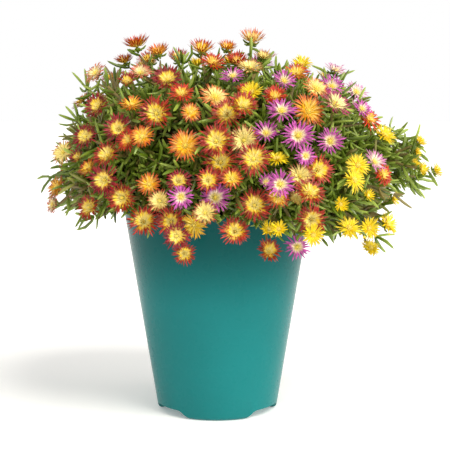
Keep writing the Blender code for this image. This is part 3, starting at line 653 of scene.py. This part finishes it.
class Shoots:
    """The leaves and stems of one bush, row by row, and which leaves the frame has too."""

    def __init__(self, seed):
        self.draw = random.Random(seed)
        self.leaves = []
        self.stems = []
        self.from_frame = []

    def leaf(self, root, tip, axis, width, tone, from_frame=False):
        """One leaf, broad side to the stem's axis and a little bowed."""
        chord = tip - root
        side = chord.cross(axis)
        if side.length < 1e-9:
            side = chord.orthogonal()
        side.normalize()
        bow = side.cross(chord).normalized() * chord.length * self.draw.uniform(*LEAF_BOWS)
        thick = width * self.draw.uniform(*LEAF_THICKNESSES)
        self.leaves.append((root, tip, side, bow, width, thick, tone))
        self.from_frame.append(from_frame)

    def stem(self, root, tip, bow, width, tone):
        """One stem from root to tip."""
        side = (tip - root).orthogonal().normalized()
        self.stems.append((root, tip, side, bow, width, width, tone))

    def pair(self, place, way, turn, length, spread, tone):
        """Two opposite leaves at one joint of a stem. Gives the turn of the next pair."""
        first, second = square_to(way, self.draw) if turn is None else turn
        for sign in (1, -1):
            out = first * sign
            angle = spread * self.draw.uniform(*LEAF_SPREAD_SHARES)
            reach = length * self.draw.uniform(*LEAF_LENGTHS)
            aim = way * math.cos(angle) + out * math.sin(angle)
            aim += wander(self.draw, LEAF_WANDER)
            aim.z -= LEAF_DROOP
            own = (tone[0] + self.draw.uniform(*LEAF_TONES), tone[1], self.draw.random())
            width = LEAF_WIDTH * self.draw.uniform(*LEAF_WIDTHS)
            self.leaf(place + out * STEM_WIDTH * LEAF_FOOT, place + aim * reach, way, width, own)
        return second, -first

    def shoot(self, root, tip, joints, length, tone, crown=True):
        """A stem from root to tip with leaf pairs at its joints, shorter towards the tip."""
        chord = tip - root
        bow = wander(self.draw, STEM_WANDER) * chord.length
        bow.z += STEM_RISE * chord.length
        self.stem(root, tip, bow, STEM_WIDTH, tone)
        turn = None
        for index in range(joints):
            share = FIRST_JOINT + (1 - FIRST_JOINT) * index / max(joints - 1, 1)
            if index == joints - 1 and not crown:
                break
            place = root + chord * share + bow * (4 * share * (1 - share))
            way = (chord + bow * 4 * (1 - 2 * share)).normalized()
            spread = self.draw.uniform(*LEAF_SPREADS) if index < joints - 1 else LEAF_SPREAD_AT_TIP
            own_length = length * (1.0 - SHORTER_AT_TIP * share)
            turn = self.pair(place, way, turn, own_length, math.radians(spread), tone)


def colour_of_place(place):
    """How yellow and light the leaves are there: fresher growth and painted light on the right and
    top.
    """
    fresh_and_lit = TINT_MIDDLE + LIT_AND_FRESHER_RIGHT * place.x + LIT_AND_FRESHER_UP * (place.z - MOUND_CENTRE_Z)
    return min(max(fresh_and_lit, TINT_LIMITS[0]), TINT_LIMITS[1])


def held_parts(recipe, name):
    """The three values that the corners hold under a name."""
    held = add_node(recipe, "ShaderNodeAttribute", attribute_name=name)
    parts = add_node(recipe, "ShaderNodeSeparateXYZ")
    recipe.links.new(held.outputs["Vector"], parts.inputs[0])
    return parts.outputs


def add_math(recipe, operation, first, second):
    """The sum or the product of two values."""
    result = add_node(recipe, "ShaderNodeMath", operation=operation)
    fill_sockets(recipe, result.inputs, (first, second))
    return result.outputs[0]


def mix_green(name, roughness, specular, tints):
    """Fleshy green in three tints, tips lighter as fresh growth and painted highlight, old parts
    brown.
    """
    green, recipe, shader = paint(name, roughness, specular)
    tone = held_parts(recipe, "tone")
    along = held_parts(recipe, "place")[0]
    blotch = add_noise(recipe, BLOTCH_GRAIN)
    tip_fresh_and_highlight = add_range(recipe, along, 0.0, 1.0, -FRESHER_AND_HIGHLIT_AT_TIP, FRESHER_AND_HIGHLIT_AT_TIP)
    blotch_tone = add_range(recipe, blotch, NOISE_LOW, NOISE_HIGH, -BLOTCH_TONE, BLOTCH_TONE)
    fresh_and_lit = add_math(recipe, "ADD", add_math(recipe, "ADD", tone[0], tip_fresh_and_highlight), blotch_tone)
    low = add_mix(recipe, add_range(recipe, fresh_and_lit, 0.0, 0.5, 0.0, 1.0), tints[0], tints[1])
    high = add_mix(recipe, add_range(recipe, fresh_and_lit, 0.5, 1.0, 0.0, 1.0), low, tints[2])
    recipe.links.new(add_mix(recipe, tone[1], high, OLD_LEAF), shader.inputs["Base Color"])
    skin = add_noise(recipe, SKIN_GRAIN, detail=2.0)
    add_bump(recipe, shader, skin, strength=0.25, depth=SKIN_DEPTH)
    return green


leaf_green = mix_green("fleshy_leaf", roughness=0.36, specular=0.5, tints=LEAF_TINTS)
stem_green = mix_green("shoot_stem", roughness=0.5, specular=0.4, tints=STEM_TINTS)
finger_leaf = draw_up_pattern("finger_leaf", sides=5, line=LEAF_LINE)
shoot_stem = draw_up_pattern("shoot_stem", sides=4, line=STEM_LINE)
thicket_faces = BVHTree.FromPolygons([corner.co for corner in thicket.data.vertices],
                                     [face.vertices for face in thicket.data.polygons])
golden_turn = math.pi * (3 - math.sqrt(5))

for node, (sector, seed) in BUSHES.items():
    bush = Shoots(seed)
    draw = bush.draw
    start = math.radians(sector)

    # The frame's leafy tips, each on a shoot from the thicket
    shape = merged_copy(node)
    for crown, _, facing, tips in stars_in(shape, LEAFY_TIP_EDGES):
        place = crown.co.copy()
        fresh_and_lit = colour_of_place(place)
        base, _, _, distance = thicket_faces.find_nearest(place)
        bush.shoot(base - facing * TIP_ROOT_DEPTH, place, 2 + int(distance / JOINT_SPACING),
                   LEAF_LENGTH * TIP_LENGTH_SHARE, (fresh_and_lit, 0.0, 0.0), crown=False)
        for tip in tips:
            own = (fresh_and_lit + draw.uniform(*TIP_TONES), 0.0, draw.random())
            width = LEAF_WIDTH * draw.uniform(*TIP_WIDTHS)
            bush.leaf(place - facing * TIP_LEAF_SINK, tip, facing, width, own, from_frame=True)
    shape.free()

    # Shoots spread evenly over the bush's third of the mound, lowest at the right of the front
    for index in range(FILL_SHOOTS):
        height = 1 - (1 - FILL_LOWEST) * (index + 0.5) / FILL_SHOOTS
        azimuth = index * golden_turn
        if (azimuth - start) % (2 * math.pi) > 2 * math.pi / 3:
            continue
        level = math.sqrt(1 - height * height)
        in_skirt = math.cos(azimuth) >= SKIRT_RIGHT_FROM and math.sin(azimuth) <= SKIRT_FRONT_TO
        if height < SKIRT_FROM and not in_skirt:
            continue
        direction = Vector((math.cos(azimuth) * level, math.sin(azimuth) * level, height))
        direction += wander(draw, FILL_TURN)
        airy = FILL_AIRY if direction.x > 0 else FILL_AIRY_LEFT
        depth = draw.uniform(*FILL_INSET) + max(direction.z - FILL_AIRY_FROM, 0.0) * airy
        surface = mound_place(direction, depth)
        root, _, _, _ = thicket_faces.find_nearest(surface)
        root.z = max(root.z, FILL_ROOT_Z)
        tip = surface + wander(draw, FILL_LEAN)
        fresh_and_lit = colour_of_place(tip) + draw.uniform(*FILL_TONES)
        old = draw.uniform(*OLD_TONES) if draw.random() < OLD_SHARE else 0.0
        bush.shoot(root - mound_outward(direction) * FILL_ROOT_DEPTH, tip, draw.choice(FILL_JOINTS),
                   LEAF_LENGTH * draw.uniform(*FILL_LENGTHS), (fresh_and_lit, old, 0.0))

    # The loose arm that reaches out at the far right
    for _ in range(ARM_SHOOTS if node == "foliage_right" else 0):
        tip = Vector([draw.uniform(low, high) for low, high in zip(ARM_LOW, ARM_HIGH)])
        run = Vector((draw.uniform(*ARM_RUN), draw.gauss(0, ARM_SWERVE), draw.uniform(*ARM_RISE)))
        bush.shoot(tip - run, tip, draw.choice(ARM_JOINTS), LEAF_LENGTH * draw.uniform(*ARM_LENGTHS),
                   ARM_TONE)

    # The crown stem that stands in the soil
    foot = round_axis(start + math.radians(60), CROWN_FROM_AXIS)
    low, high = (foot + Vector((0, 0, height)) for height in CROWN_HEIGHTS)
    bush.stem(low, high, CROWN_BOW, CROWN_WIDTH, CROWN_TONE)

    columns = list(zip(*bush.leaves))
    roots = np.array(columns[0])
    ends = np.array(columns[1])
    middles = (roots + ends) / 2 + np.array(columns[3])
    keep = np.ones(len(roots), bool)
    for points in (ends, middles, roots * 0.25 + ends * 0.75):
        keep &= clear_of_blooms(points) & (clear_of_pot(points) | np.array(bush.from_frame))
    kept = kept_rows(columns, keep)
    leaves = gather_copies(node.replace("foliage", "leaves"),
                           [bent_copies(finger_leaf, kept[:6], tone=kept[6])])
    leaves.data.materials.append(leaf_green)
    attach(leaves, "root")
    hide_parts(node)
    columns = list(zip(*bush.stems))
    kept = kept_rows(columns, clear_of_fringe(np.array(columns[1])))
    stems = gather_copies(node.replace("foliage", "stems"),
                          [bent_copies(shoot_stem, kept[:6], tone=kept[6])])
    stems.data.materials.append(stem_green)
    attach(stems, "root")

# Blooms: daisy-like flowers with three rows of narrow, silky petals, pale or yellow at the base and
# red, orange, magenta or yellow at the tips, round a boss of stamens. One petal and one stamen are
# drawn up, and every copy is bent to its place.
PETAL_LINE = ((0.0, 0.32), (0.4, 0.5), (0.76, 0.42), (1.0, 0.06))
PETAL_WIDTH = 0.00145
PETAL_WIDTHS = (0.82, 1.08)
PETAL_THICKNESS = 0.34
PETAL_LENGTHS = (0.8, 1.06)
PETAL_LIFT = 0.065
PETAL_TURN = 0.05
PETAL_SINK = 0.02
PETAL_FOOT = 0.13
PETAL_BOWS = (-0.03, 0.13)
PETAL_SIDE_BOW = 0.035
FEWER_EACH_ROW = 4
PETAL_COUNTS = {"small": 19, "middle": 27, "large": 33}
PETAL_SHARES = {"fire": 1.0, "yellow": 0.9, "magenta": 0.72}
# Each row's length, rise and width as shares, laid flat and closed to a cup
PETAL_ROWS = ((1.0, 0.06, 1.0), (0.88, 0.2, 0.95), (0.62, 0.3, 0.85))
CUP_ROWS = ((0.92, 0.45, 1.0), (0.8, 0.6, 0.9), (0.52, 0.6, 0.8))
OPENINGS = (0.0, 0.0, 0.1, 0.25, 0.45)
CUP_FROM_Z = 0.312
LARGE_REACH = 0.014
SMALL_REACH = 0.0095
FULL_REACH = 0.015
SLENDER = 0.55
HUES = 0.06
PETAL_SHADES = (-0.1, 0.1)
STREAKS = {"fire": 0.5, "magenta": 0.5, "yellow": 0.1}
TIP_DEPTHS = (0.5, 1.15)
RING_SHIFT = 0.08
LAST_ROW_SHIFT = 0.14
VEIN_STRETCH = (1.5, 14.0, 40.0)
VEIN_SHADES = (0.8, 1.08)
VEIN_DEPTH = 0.0003
THROAT_RUN = (0.04, 0.38)
STAMEN_LINE = ((0.0, 0.25), (0.75, 0.25), (0.9, 0.5), (1.0, 0.25))
STAMEN_RINGS = ((0.04, 4), (0.09, 7), (0.14, 9))
STAMEN_WIDTH = 0.0009
STAMEN_TURN = 0.1
STAMEN_FOOT = 0.7
STAMEN_FOOT_LIFT = 0.02
STAMEN_TOP = 1.7
STAMEN_RISE = 0.24
STAMEN_FALL = 0.7
STAMEN_TONE = (1.0, 0.88, 0.3)
DUST_GOLD = (0.82, 0.62, 0.08, 1.0)
DUST_GRAIN = 900.0
DUST_RUN = (0.35, 0.65)
DUST_MOST = 0.35
BOSS_LINE = ((0.0, 0.5), (0.5, 0.46), (0.85, 0.3), (1.0, 0.1))
BOSS_WIDTH = 0.19
BOSS_FOOT = 0.05
BOSS_TOP = 0.2
BOSS_TONE = (0.84, 0.66, 0.08)
BROWN_BOSS = (0.2, 0.085, 0.01)
BROWN_USUAL = 0.5
BROWN_BY_HUE = 12
BROWN_CENTRED = ("ember", "crimson", "cream", "flame", "berry")
FACES_UP = 0.7
CUP_FACES_UP = 0.8
LEANS = (0.0, 0.0, 0.0, 0.12, 0.3, 0.5)
TOP_LEAN = 0.3
FACING_WANDER = 0.1
BACK_FROM_Y = 0.03
MIDDLE_TO_X = 0.045
# Each tone: colour near the middle, colour at the tips, and where along a petal the change runs
TONES = {
    "ember": ((0.97, 0.68, 0.020), (0.42, 0.020, 0.007), 0.33, 0.66),
    "crimson": ((0.97, 0.68, 0.030), (0.30, 0.006, 0.016), 0.30, 0.60),
    "scarlet": ((0.96, 0.46, 0.012), (0.58, 0.028, 0.005), 0.24, 0.56),
    "orange": ((0.96, 0.52, 0.005), (0.60, 0.080, 0.003), 0.32, 0.84),
    "flame": ((0.96, 0.60, 0.015), (0.54, 0.042, 0.006), 0.32, 0.74),
    "cream": ((0.95, 0.76, 0.22), (0.44, 0.036, 0.014), 0.52, 0.88),
    "pale": ((0.92, 0.76, 0.40), (0.60, 0.10, 0.06), 0.30, 0.80),
    "apricot": ((0.95, 0.72, 0.22), (0.66, 0.12, 0.020), 0.40, 0.84),
    "gold": ((0.95, 0.66, 0.012), (0.82, 0.42, 0.008), 0.30, 0.90),
    "berry": ((0.94, 0.82, 0.40), (0.46, 0.026, 0.14), 0.42, 0.70),
    "magenta": ((0.90, 0.68, 0.60), (0.58, 0.085, 0.41), 0.18, 0.54),
    "pink": ((0.92, 0.74, 0.70), (0.66, 0.20, 0.46), 0.28, 0.78),
    "yellow": ((0.95, 0.72, 0.008), (0.90, 0.64, 0.003), 0.30, 0.90),
}
PALE_STREAK = (0.97, 0.86, 0.4)
THROATS = {"orange": (0.95, 0.6, 0.02), "scarlet": (0.95, 0.66, 0.05), "gold": (0.93, 0.66, 0.03),
           "flame": (0.95, 0.76, 0.12), "yellow": (0.92, 0.66, 0.004), "apricot": (0.95, 0.70, 0.10)}
THROAT_CREAM = (0.97, 0.88, 0.42)
# Blooms whose tone isn't their plant's usual one: across and up in the plane through the axis, in mm
TONE_PLACES = {
    "crimson": ((-107, 275), (-81, 298), (-89, 255), (-119, 248), (-126, 230), (-102, 209), (-45, 299),
                (-35, 208), (-37, 158)),
    "scarlet": ((-80, 245), (-4, 314), (18, 315), (-32, 287), (25, 289), (52, 284), (137, 264),
                (150, 214)),
    "orange": ((-52, 323), (-77, 276), (-68, 248), (-145, 202), (-62, 205), (9, 327), (-24, 270),
               (-29, 240), (82, 271)),
    "flame": ((-72, 329), (-83, 315), (-116, 219), (-14, 325), (13, 210), (55, 194), (71, 304)),
    "cream": ((-139, 234), (29, 309), (41, 319), (24, 245), (-52, 190), (-11, 179),
              (75, 212), (72, 192)),
    "pale": ((-69, 305), (-109, 305), (-149, 187)),
    "apricot": ((31, 334), (-2, 283), (89, 291)),
    "gold": ((-21, 168),),
    "berry": ((106, 277),),
    "pink": ((125, 288), (106, 307), (142, 225)),
}
TONE_REACH = 0.006
BACK_TONES = ("ember", "crimson", "flame", "orange", "cream", "scarlet", "ember")

petal_strap = draw_up_pattern("petal_strap", sides=4, line=PETAL_LINE)
stamen = draw_up_pattern("stamen", sides=3, line=STAMEN_LINE)
flower_boss = draw_up_pattern("flower_boss", sides=9, line=BOSS_LINE)


def tone_of(bloom, number):
    """The tone that this bloom has: by its place for those seen in front, in turn behind."""
    place = bloom["place"]
    usual = "ember" if bloom["kind"] == "fire" else bloom["kind"]
    if place.y > BACK_FROM_Y:
        return BACK_TONES[number % len(BACK_TONES)] if bloom["kind"] == "fire" else usual
    share = abs(EYE.y) / (place.y - EYE.y)
    across = place.x * share
    up = EYE.z + (place.z - EYE.z) * share
    nearest = (TONE_REACH, usual)
    for tone, places in TONE_PLACES.items():
        for right, high in places:
            gap = math.hypot(across - right / 1000, up - high / 1000)
            if gap < nearest[0]:
                nearest = (gap, tone)
    return nearest[1]


def group_of(bloom):
    """The group that a bloom's spray is drawn with: its kind and the part of the mound."""
    place = bloom["place"]
    if place.y > BACK_FROM_Y:
        region = "back"
    elif bloom["kind"] != "fire":
        region = "front"
    else:
        region = "left" if place.x < -MIDDLE_TO_X else "middle" if place.x < MIDDLE_TO_X else "right"
    return "%s_%s" % (bloom["kind"], region)


def between(first, second, share):
    """A colour or row of shares part of the way from one to another."""
    return [a + (b - a) * share for a, b in zip(first, second)]


def held_colour(recipe, name):
    """The colour that the corners hold under a name."""
    return add_node(recipe, "ShaderNodeAttribute", attribute_name=name).outputs["Color"]


silky_petal, recipe, shader = paint("silky_petal", roughness=0.4, specular=0.4)
place = add_node(recipe, "ShaderNodeAttribute", attribute_name="place").outputs["Vector"]
along = held_parts(recipe, "place")[0]
ring = held_parts(recipe, "ring")
change = add_range(recipe, along, ring[0], ring[1], 0.0, 1.0, smooth=True)
throat = add_range(recipe, along, *THROAT_RUN, 0.0, 1.0)
inner = add_mix(recipe, throat, held_colour(recipe, "throat"), held_colour(recipe, "heart"))
colour = add_mix(recipe, change, inner, held_colour(recipe, "rim"))
stretch = add_node(recipe, "ShaderNodeMapping", Scale=VEIN_STRETCH)
recipe.links.new(place, stretch.inputs["Vector"])
veins = add_noise(recipe, 1.0, detail=2.0, vector=stretch.outputs["Vector"])
shade = add_range(recipe, veins, NOISE_LOW, NOISE_HIGH, *VEIN_SHADES)
lit = add_node(recipe, "ShaderNodeVectorMath", operation="SCALE")
recipe.links.new(colour, lit.inputs[0])
recipe.links.new(add_math(recipe, "MULTIPLY", shade, ring[2]), lit.inputs["Scale"])
recipe.links.new(lit.outputs["Vector"], shader.inputs["Base Color"])
add_bump(recipe, shader, veins, strength=0.3, depth=VEIN_DEPTH)

stamen_gold, recipe, shader = paint("stamens", roughness=0.6, specular=0.3)
dust = add_noise(recipe, DUST_GRAIN, detail=2.0)
dusted = add_range(recipe, dust, *DUST_RUN, 0.0, DUST_MOST)
colour = add_mix(recipe, dusted, held_colour(recipe, "heart"), DUST_GOLD)
recipe.links.new(colour, shader.inputs["Base Color"])

draw = random.Random(9)
for number, bloom in enumerate(blooms):
    bloom["tone"] = tone_of(bloom, number)
    if bloom["facing"].z < FACES_UP:
        bloom["facing"].z += draw.choice(LEANS)
    else:
        bloom["facing"].y -= TOP_LEAN
    bloom["facing"] += wander(draw, FACING_WANDER)
    bloom["facing"].normalize()

node_group = {}
groups = {}
for bloom in blooms:
    group = node_group.setdefault(bloom["node"], group_of(bloom))
    groups.setdefault(group, []).append(bloom)

for group, members in sorted(groups.items()):
    draw = random.Random(group)
    petals = []
    hearts, rims, rings, throats = [], [], [], []
    stamens = []
    bosses, boss_tones = [], []
    for bloom in members:
        place, facing, reach = bloom["place"], bloom["facing"], bloom["reach"]
        heart_tone, tip_fresh_and_highlight, ring_start, ring_end = TONES[bloom["tone"]]
        first, second = square_to(facing, draw)
        size = "small" if reach < SMALL_REACH else "large" if reach > LARGE_REACH else "middle"
        cup = size == "small" or (place.z > CUP_FROM_Z and facing.z > CUP_FACES_UP)
        hue = draw.uniform(-HUES, HUES)
        opening = draw.choice(OPENINGS)
        for row, (flat, cupped) in enumerate(zip(PETAL_ROWS, CUP_ROWS)):
            share, rise, widen = between(flat, cupped, 1.0 if cup else opening)
            count = int((PETAL_COUNTS[size] - FEWER_EACH_ROW * row) * PETAL_SHARES[bloom["kind"]])
            for petal in range(count):
                angle = 2 * math.pi * (petal + 0.5 * row) / count + draw.gauss(0, PETAL_TURN)
                out = first * math.cos(angle) + second * math.sin(angle)
                along = facing.cross(out)
                long = reach * share * draw.uniform(*PETAL_LENGTHS)
                lift = reach * (rise + draw.gauss(0, PETAL_LIFT))
                root = place + out * reach * PETAL_FOOT - facing * reach * PETAL_SINK
                tip = place + out * long + facing * lift
                bow = facing * reach * draw.uniform(*PETAL_BOWS) * (-1 if cup else 1)
                bow += along * reach * draw.gauss(0, PETAL_SIDE_BOW)
                width = PETAL_WIDTH * widen * (SLENDER + (1 - SLENDER) * reach / FULL_REACH)
                width *= draw.uniform(*PETAL_WIDTHS)
                petals.append((root, tip, along, bow, width, width * PETAL_THICKNESS))
                brighter = 1.0 + hue + draw.uniform(*PETAL_SHADES)
                streak = draw.random() ** 2 * STREAKS[bloom["kind"]]
                hearts.append(between(heart_tone, PALE_STREAK, streak))
                throats.append(THROATS.get(bloom["tone"], THROAT_CREAM))
                depth = draw.uniform(*TIP_DEPTHS)
                rims.append([channel * depth for channel in tip_fresh_and_highlight])
                offset = draw.uniform(-RING_SHIFT, RING_SHIFT) + LAST_ROW_SHIFT * (row == 2)
                rings.append((ring_start + offset, ring_end + offset, brighter))
        for share, count in STAMEN_RINGS:
            for index in range(count):
                angle = 2 * math.pi * index / count + draw.gauss(0, STAMEN_TURN)
                out = first * math.cos(angle) + second * math.sin(angle)
                root = place + out * reach * share * STAMEN_FOOT
                root += facing * reach * STAMEN_FOOT_LIFT
                rise = STAMEN_RISE - share * STAMEN_FALL
                tip = place + out * reach * share * STAMEN_TOP + facing * reach * rise
                stamens.append((root, tip, facing.cross(out), Vector(), STAMEN_WIDTH, STAMEN_WIDTH))
        bosses.append((place - facing * reach * BOSS_FOOT, place + facing * reach * BOSS_TOP, first,
                       Vector(), reach * BOSS_WIDTH, reach * BOSS_WIDTH))
        brown = BROWN_USUAL + hue * BROWN_BY_HUE if bloom["tone"] in BROWN_CENTRED else 0.0
        boss_tones.append(between(BOSS_TONE, BROWN_BOSS, min(max(brown, 0.0), 1.0)))
    flowers = gather_copies(group + "_petals", [
        bent_copies(petal_strap, zip(*petals), heart=hearts, rim=rims, ring=rings, throat=throats)])
    flowers.data.materials.append(silky_petal)
    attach(flowers, "root")
    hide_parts(*[node for node in spray_nodes if node_group[node] == group])
    middles = gather_copies(group + "_stamens", [
        bent_copies(stamen, zip(*stamens), heart=[STAMEN_TONE] * len(stamens)),
        bent_copies(flower_boss, zip(*bosses), heart=boss_tones)])
    middles.data.materials.append(stamen_gold)
    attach(middles, "root")

# Calyx and stalks: under each bloom a fleshy green cup with five finger-like sepals, on a thin stalk
# that forks from its spray's node and bears small leaves. The stalks are the frame's, rounded off.
CALYX_LINE = ((0.0, 0.1), (0.35, 0.3), (0.75, 0.5), (1.0, 0.42))
CALYX_WIDTH = 0.39
CALYX_FOOT = 0.42
CALYX_TOP = 0.03
CALYX_TONE = (0.62, 0.0, 0.0)
SEPALS = 5
SEPAL_TURN = 0.15
SEPAL_SINK = 0.22
SEPAL_OUT = 0.1
SEPAL_BOW = 0.08
SEPAL_REACHES = (0.5, 0.66)
SEPAL_FALLS = (0.02, 0.12)
SEPAL_WIDTH = 0.0024
SEPAL_THICKNESS = 0.0018
STALK_TONE = (0.55, 0.0, 0.0)
STALK_PLACE = (0.5, 0.0, 0.0)
STALK_RUN = 0.008
STALK_SWELL = 0.0009
BRACT_SHARES = (0.3, 0.6, 0.9)
BRACT_SPACING = 0.008
BRACT_SPREAD = math.radians(50)
BRACT_LENGTHS = (0.6, 0.95)
BRACT_TONES = (-0.15, 0.2)


def stalk_of(node):
    """The forked stalk of a spray: the frame's own mesh without its stars."""
    shape = merged_copy(node)
    stars = set()
    for crown, _, _, _ in stars_in(shape, BLOOM_EDGES):
        stars.add(crown)
        stars.update(edge.other_vert(crown) for edge in crown.link_edges)
    bmesh.ops.delete(shape, geom=list(stars), context="VERTS")
    open_edges = [edge for edge in shape.edges if edge.is_boundary]
    bmesh.ops.holes_fill(shape, edges=open_edges, sides=3)
    mesh = bpy.data.meshes.new(node + "_stalk")
    shape.to_mesh(mesh)
    shape.free()
    hold_values(mesh, "tone", np.tile(STALK_TONE, len(mesh.vertices)))
    hold_values(mesh, "place", np.tile(STALK_PLACE, len(mesh.vertices)))
    mesh.materials.append(stem_green)
    return mesh


def rounded_off(node, mesh):
    """The stalk as a piece, swollen to its real thickness and rounded."""
    stalk = bpy.data.objects.new(node + "_stalk", mesh)
    bpy.context.scene.collection.objects.link(stalk)
    select_only(stalk)
    swell = stalk.modifiers.new("swell", "DISPLACE")
    swell.strength = STALK_SWELL
    swell.mid_level = 0.0
    bpy.ops.object.modifier_apply(modifier=swell.name)
    rounding = stalk.modifiers.new("round", "SUBSURF")
    rounding.levels = 1
    rounding.render_levels = 1
    bpy.ops.object.modifier_apply(modifier=rounding.name)
    bpy.ops.object.shade_smooth()
    return stalk


calyx_cup = draw_up_pattern("calyx_cup", sides=8, line=CALYX_LINE)
for group, members in sorted(groups.items()):
    draw = random.Random(group + "stalks")
    cups, sepals = [], []
    bracts = Shoots(group)
    for bloom in members:
        place, facing, reach = bloom["place"], bloom["facing"], bloom["reach"]
        first, second = square_to(facing, draw)
        cups.append((place - facing * reach * CALYX_FOOT, place - facing * reach * CALYX_TOP, first,
                     Vector(), reach * CALYX_WIDTH, reach * CALYX_WIDTH))
        for index in range(SEPALS):
            angle = 2 * math.pi * (index + draw.uniform(-SEPAL_TURN, SEPAL_TURN)) / SEPALS
            out = first * math.cos(angle) + second * math.sin(angle)
            root = place - facing * reach * SEPAL_SINK + out * reach * SEPAL_OUT
            tip = place + out * reach * draw.uniform(*SEPAL_REACHES)
            tip -= facing * reach * draw.uniform(*SEPAL_FALLS)
            bow = -facing * reach * SEPAL_BOW
            sepals.append((root, tip, facing.cross(out), bow, SEPAL_WIDTH, SEPAL_THICKNESS))
    stalks = []
    for node in sorted(spray_nodes):
        if node_group[node] != group:
            continue
        mesh = stalk_of(node)
        used = []
        for edge in mesh.edges:
            low, high = (mesh.vertices[corner].co for corner in edge.vertices)
            if (high - low).length < STALK_RUN:
                continue
            way = (high - low).normalized()
            if way.dot(mound_outward((low + high) / 2 - Vector((0, 0, MOUND_CENTRE_Z)))) < 0:
                low, high, way = high, low, -way
            for share in BRACT_SHARES:
                place = low.lerp(high, share)
                if any((place - other).length < BRACT_SPACING for other in used):
                    continue
                used.append(place)
                tone = (colour_of_place(place) + draw.uniform(*BRACT_TONES), 0.0, 0.0)
                length = LEAF_LENGTH * draw.uniform(*BRACT_LENGTHS)
                bracts.pair(place, way, None, length, BRACT_SPREAD, tone)
        stalks.append(rounded_off(node, mesh))
    columns = list(zip(*bracts.leaves))
    roots = np.array(columns[0])
    ends = np.array(columns[1])
    keep = clear_of_blooms(ends) & clear_of_blooms(roots * 0.4 + ends * 0.6) & clear_of_pot(ends)
    kept = kept_rows(columns, keep)
    green_parts = gather_copies(group + "_stalks", [
        bent_copies(calyx_cup, zip(*cups), tone=[CALYX_TONE] * len(cups)),
        bent_copies(finger_leaf, zip(*sepals), tone=[STALK_TONE] * len(sepals)),
        bent_copies(finger_leaf, kept[:6], tone=kept[6])])
    green_parts.data.materials.append(leaf_green)
    for stalk in stalks:
        stalk.select_set(True)
    bpy.ops.object.join()
    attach(green_parts, "root")
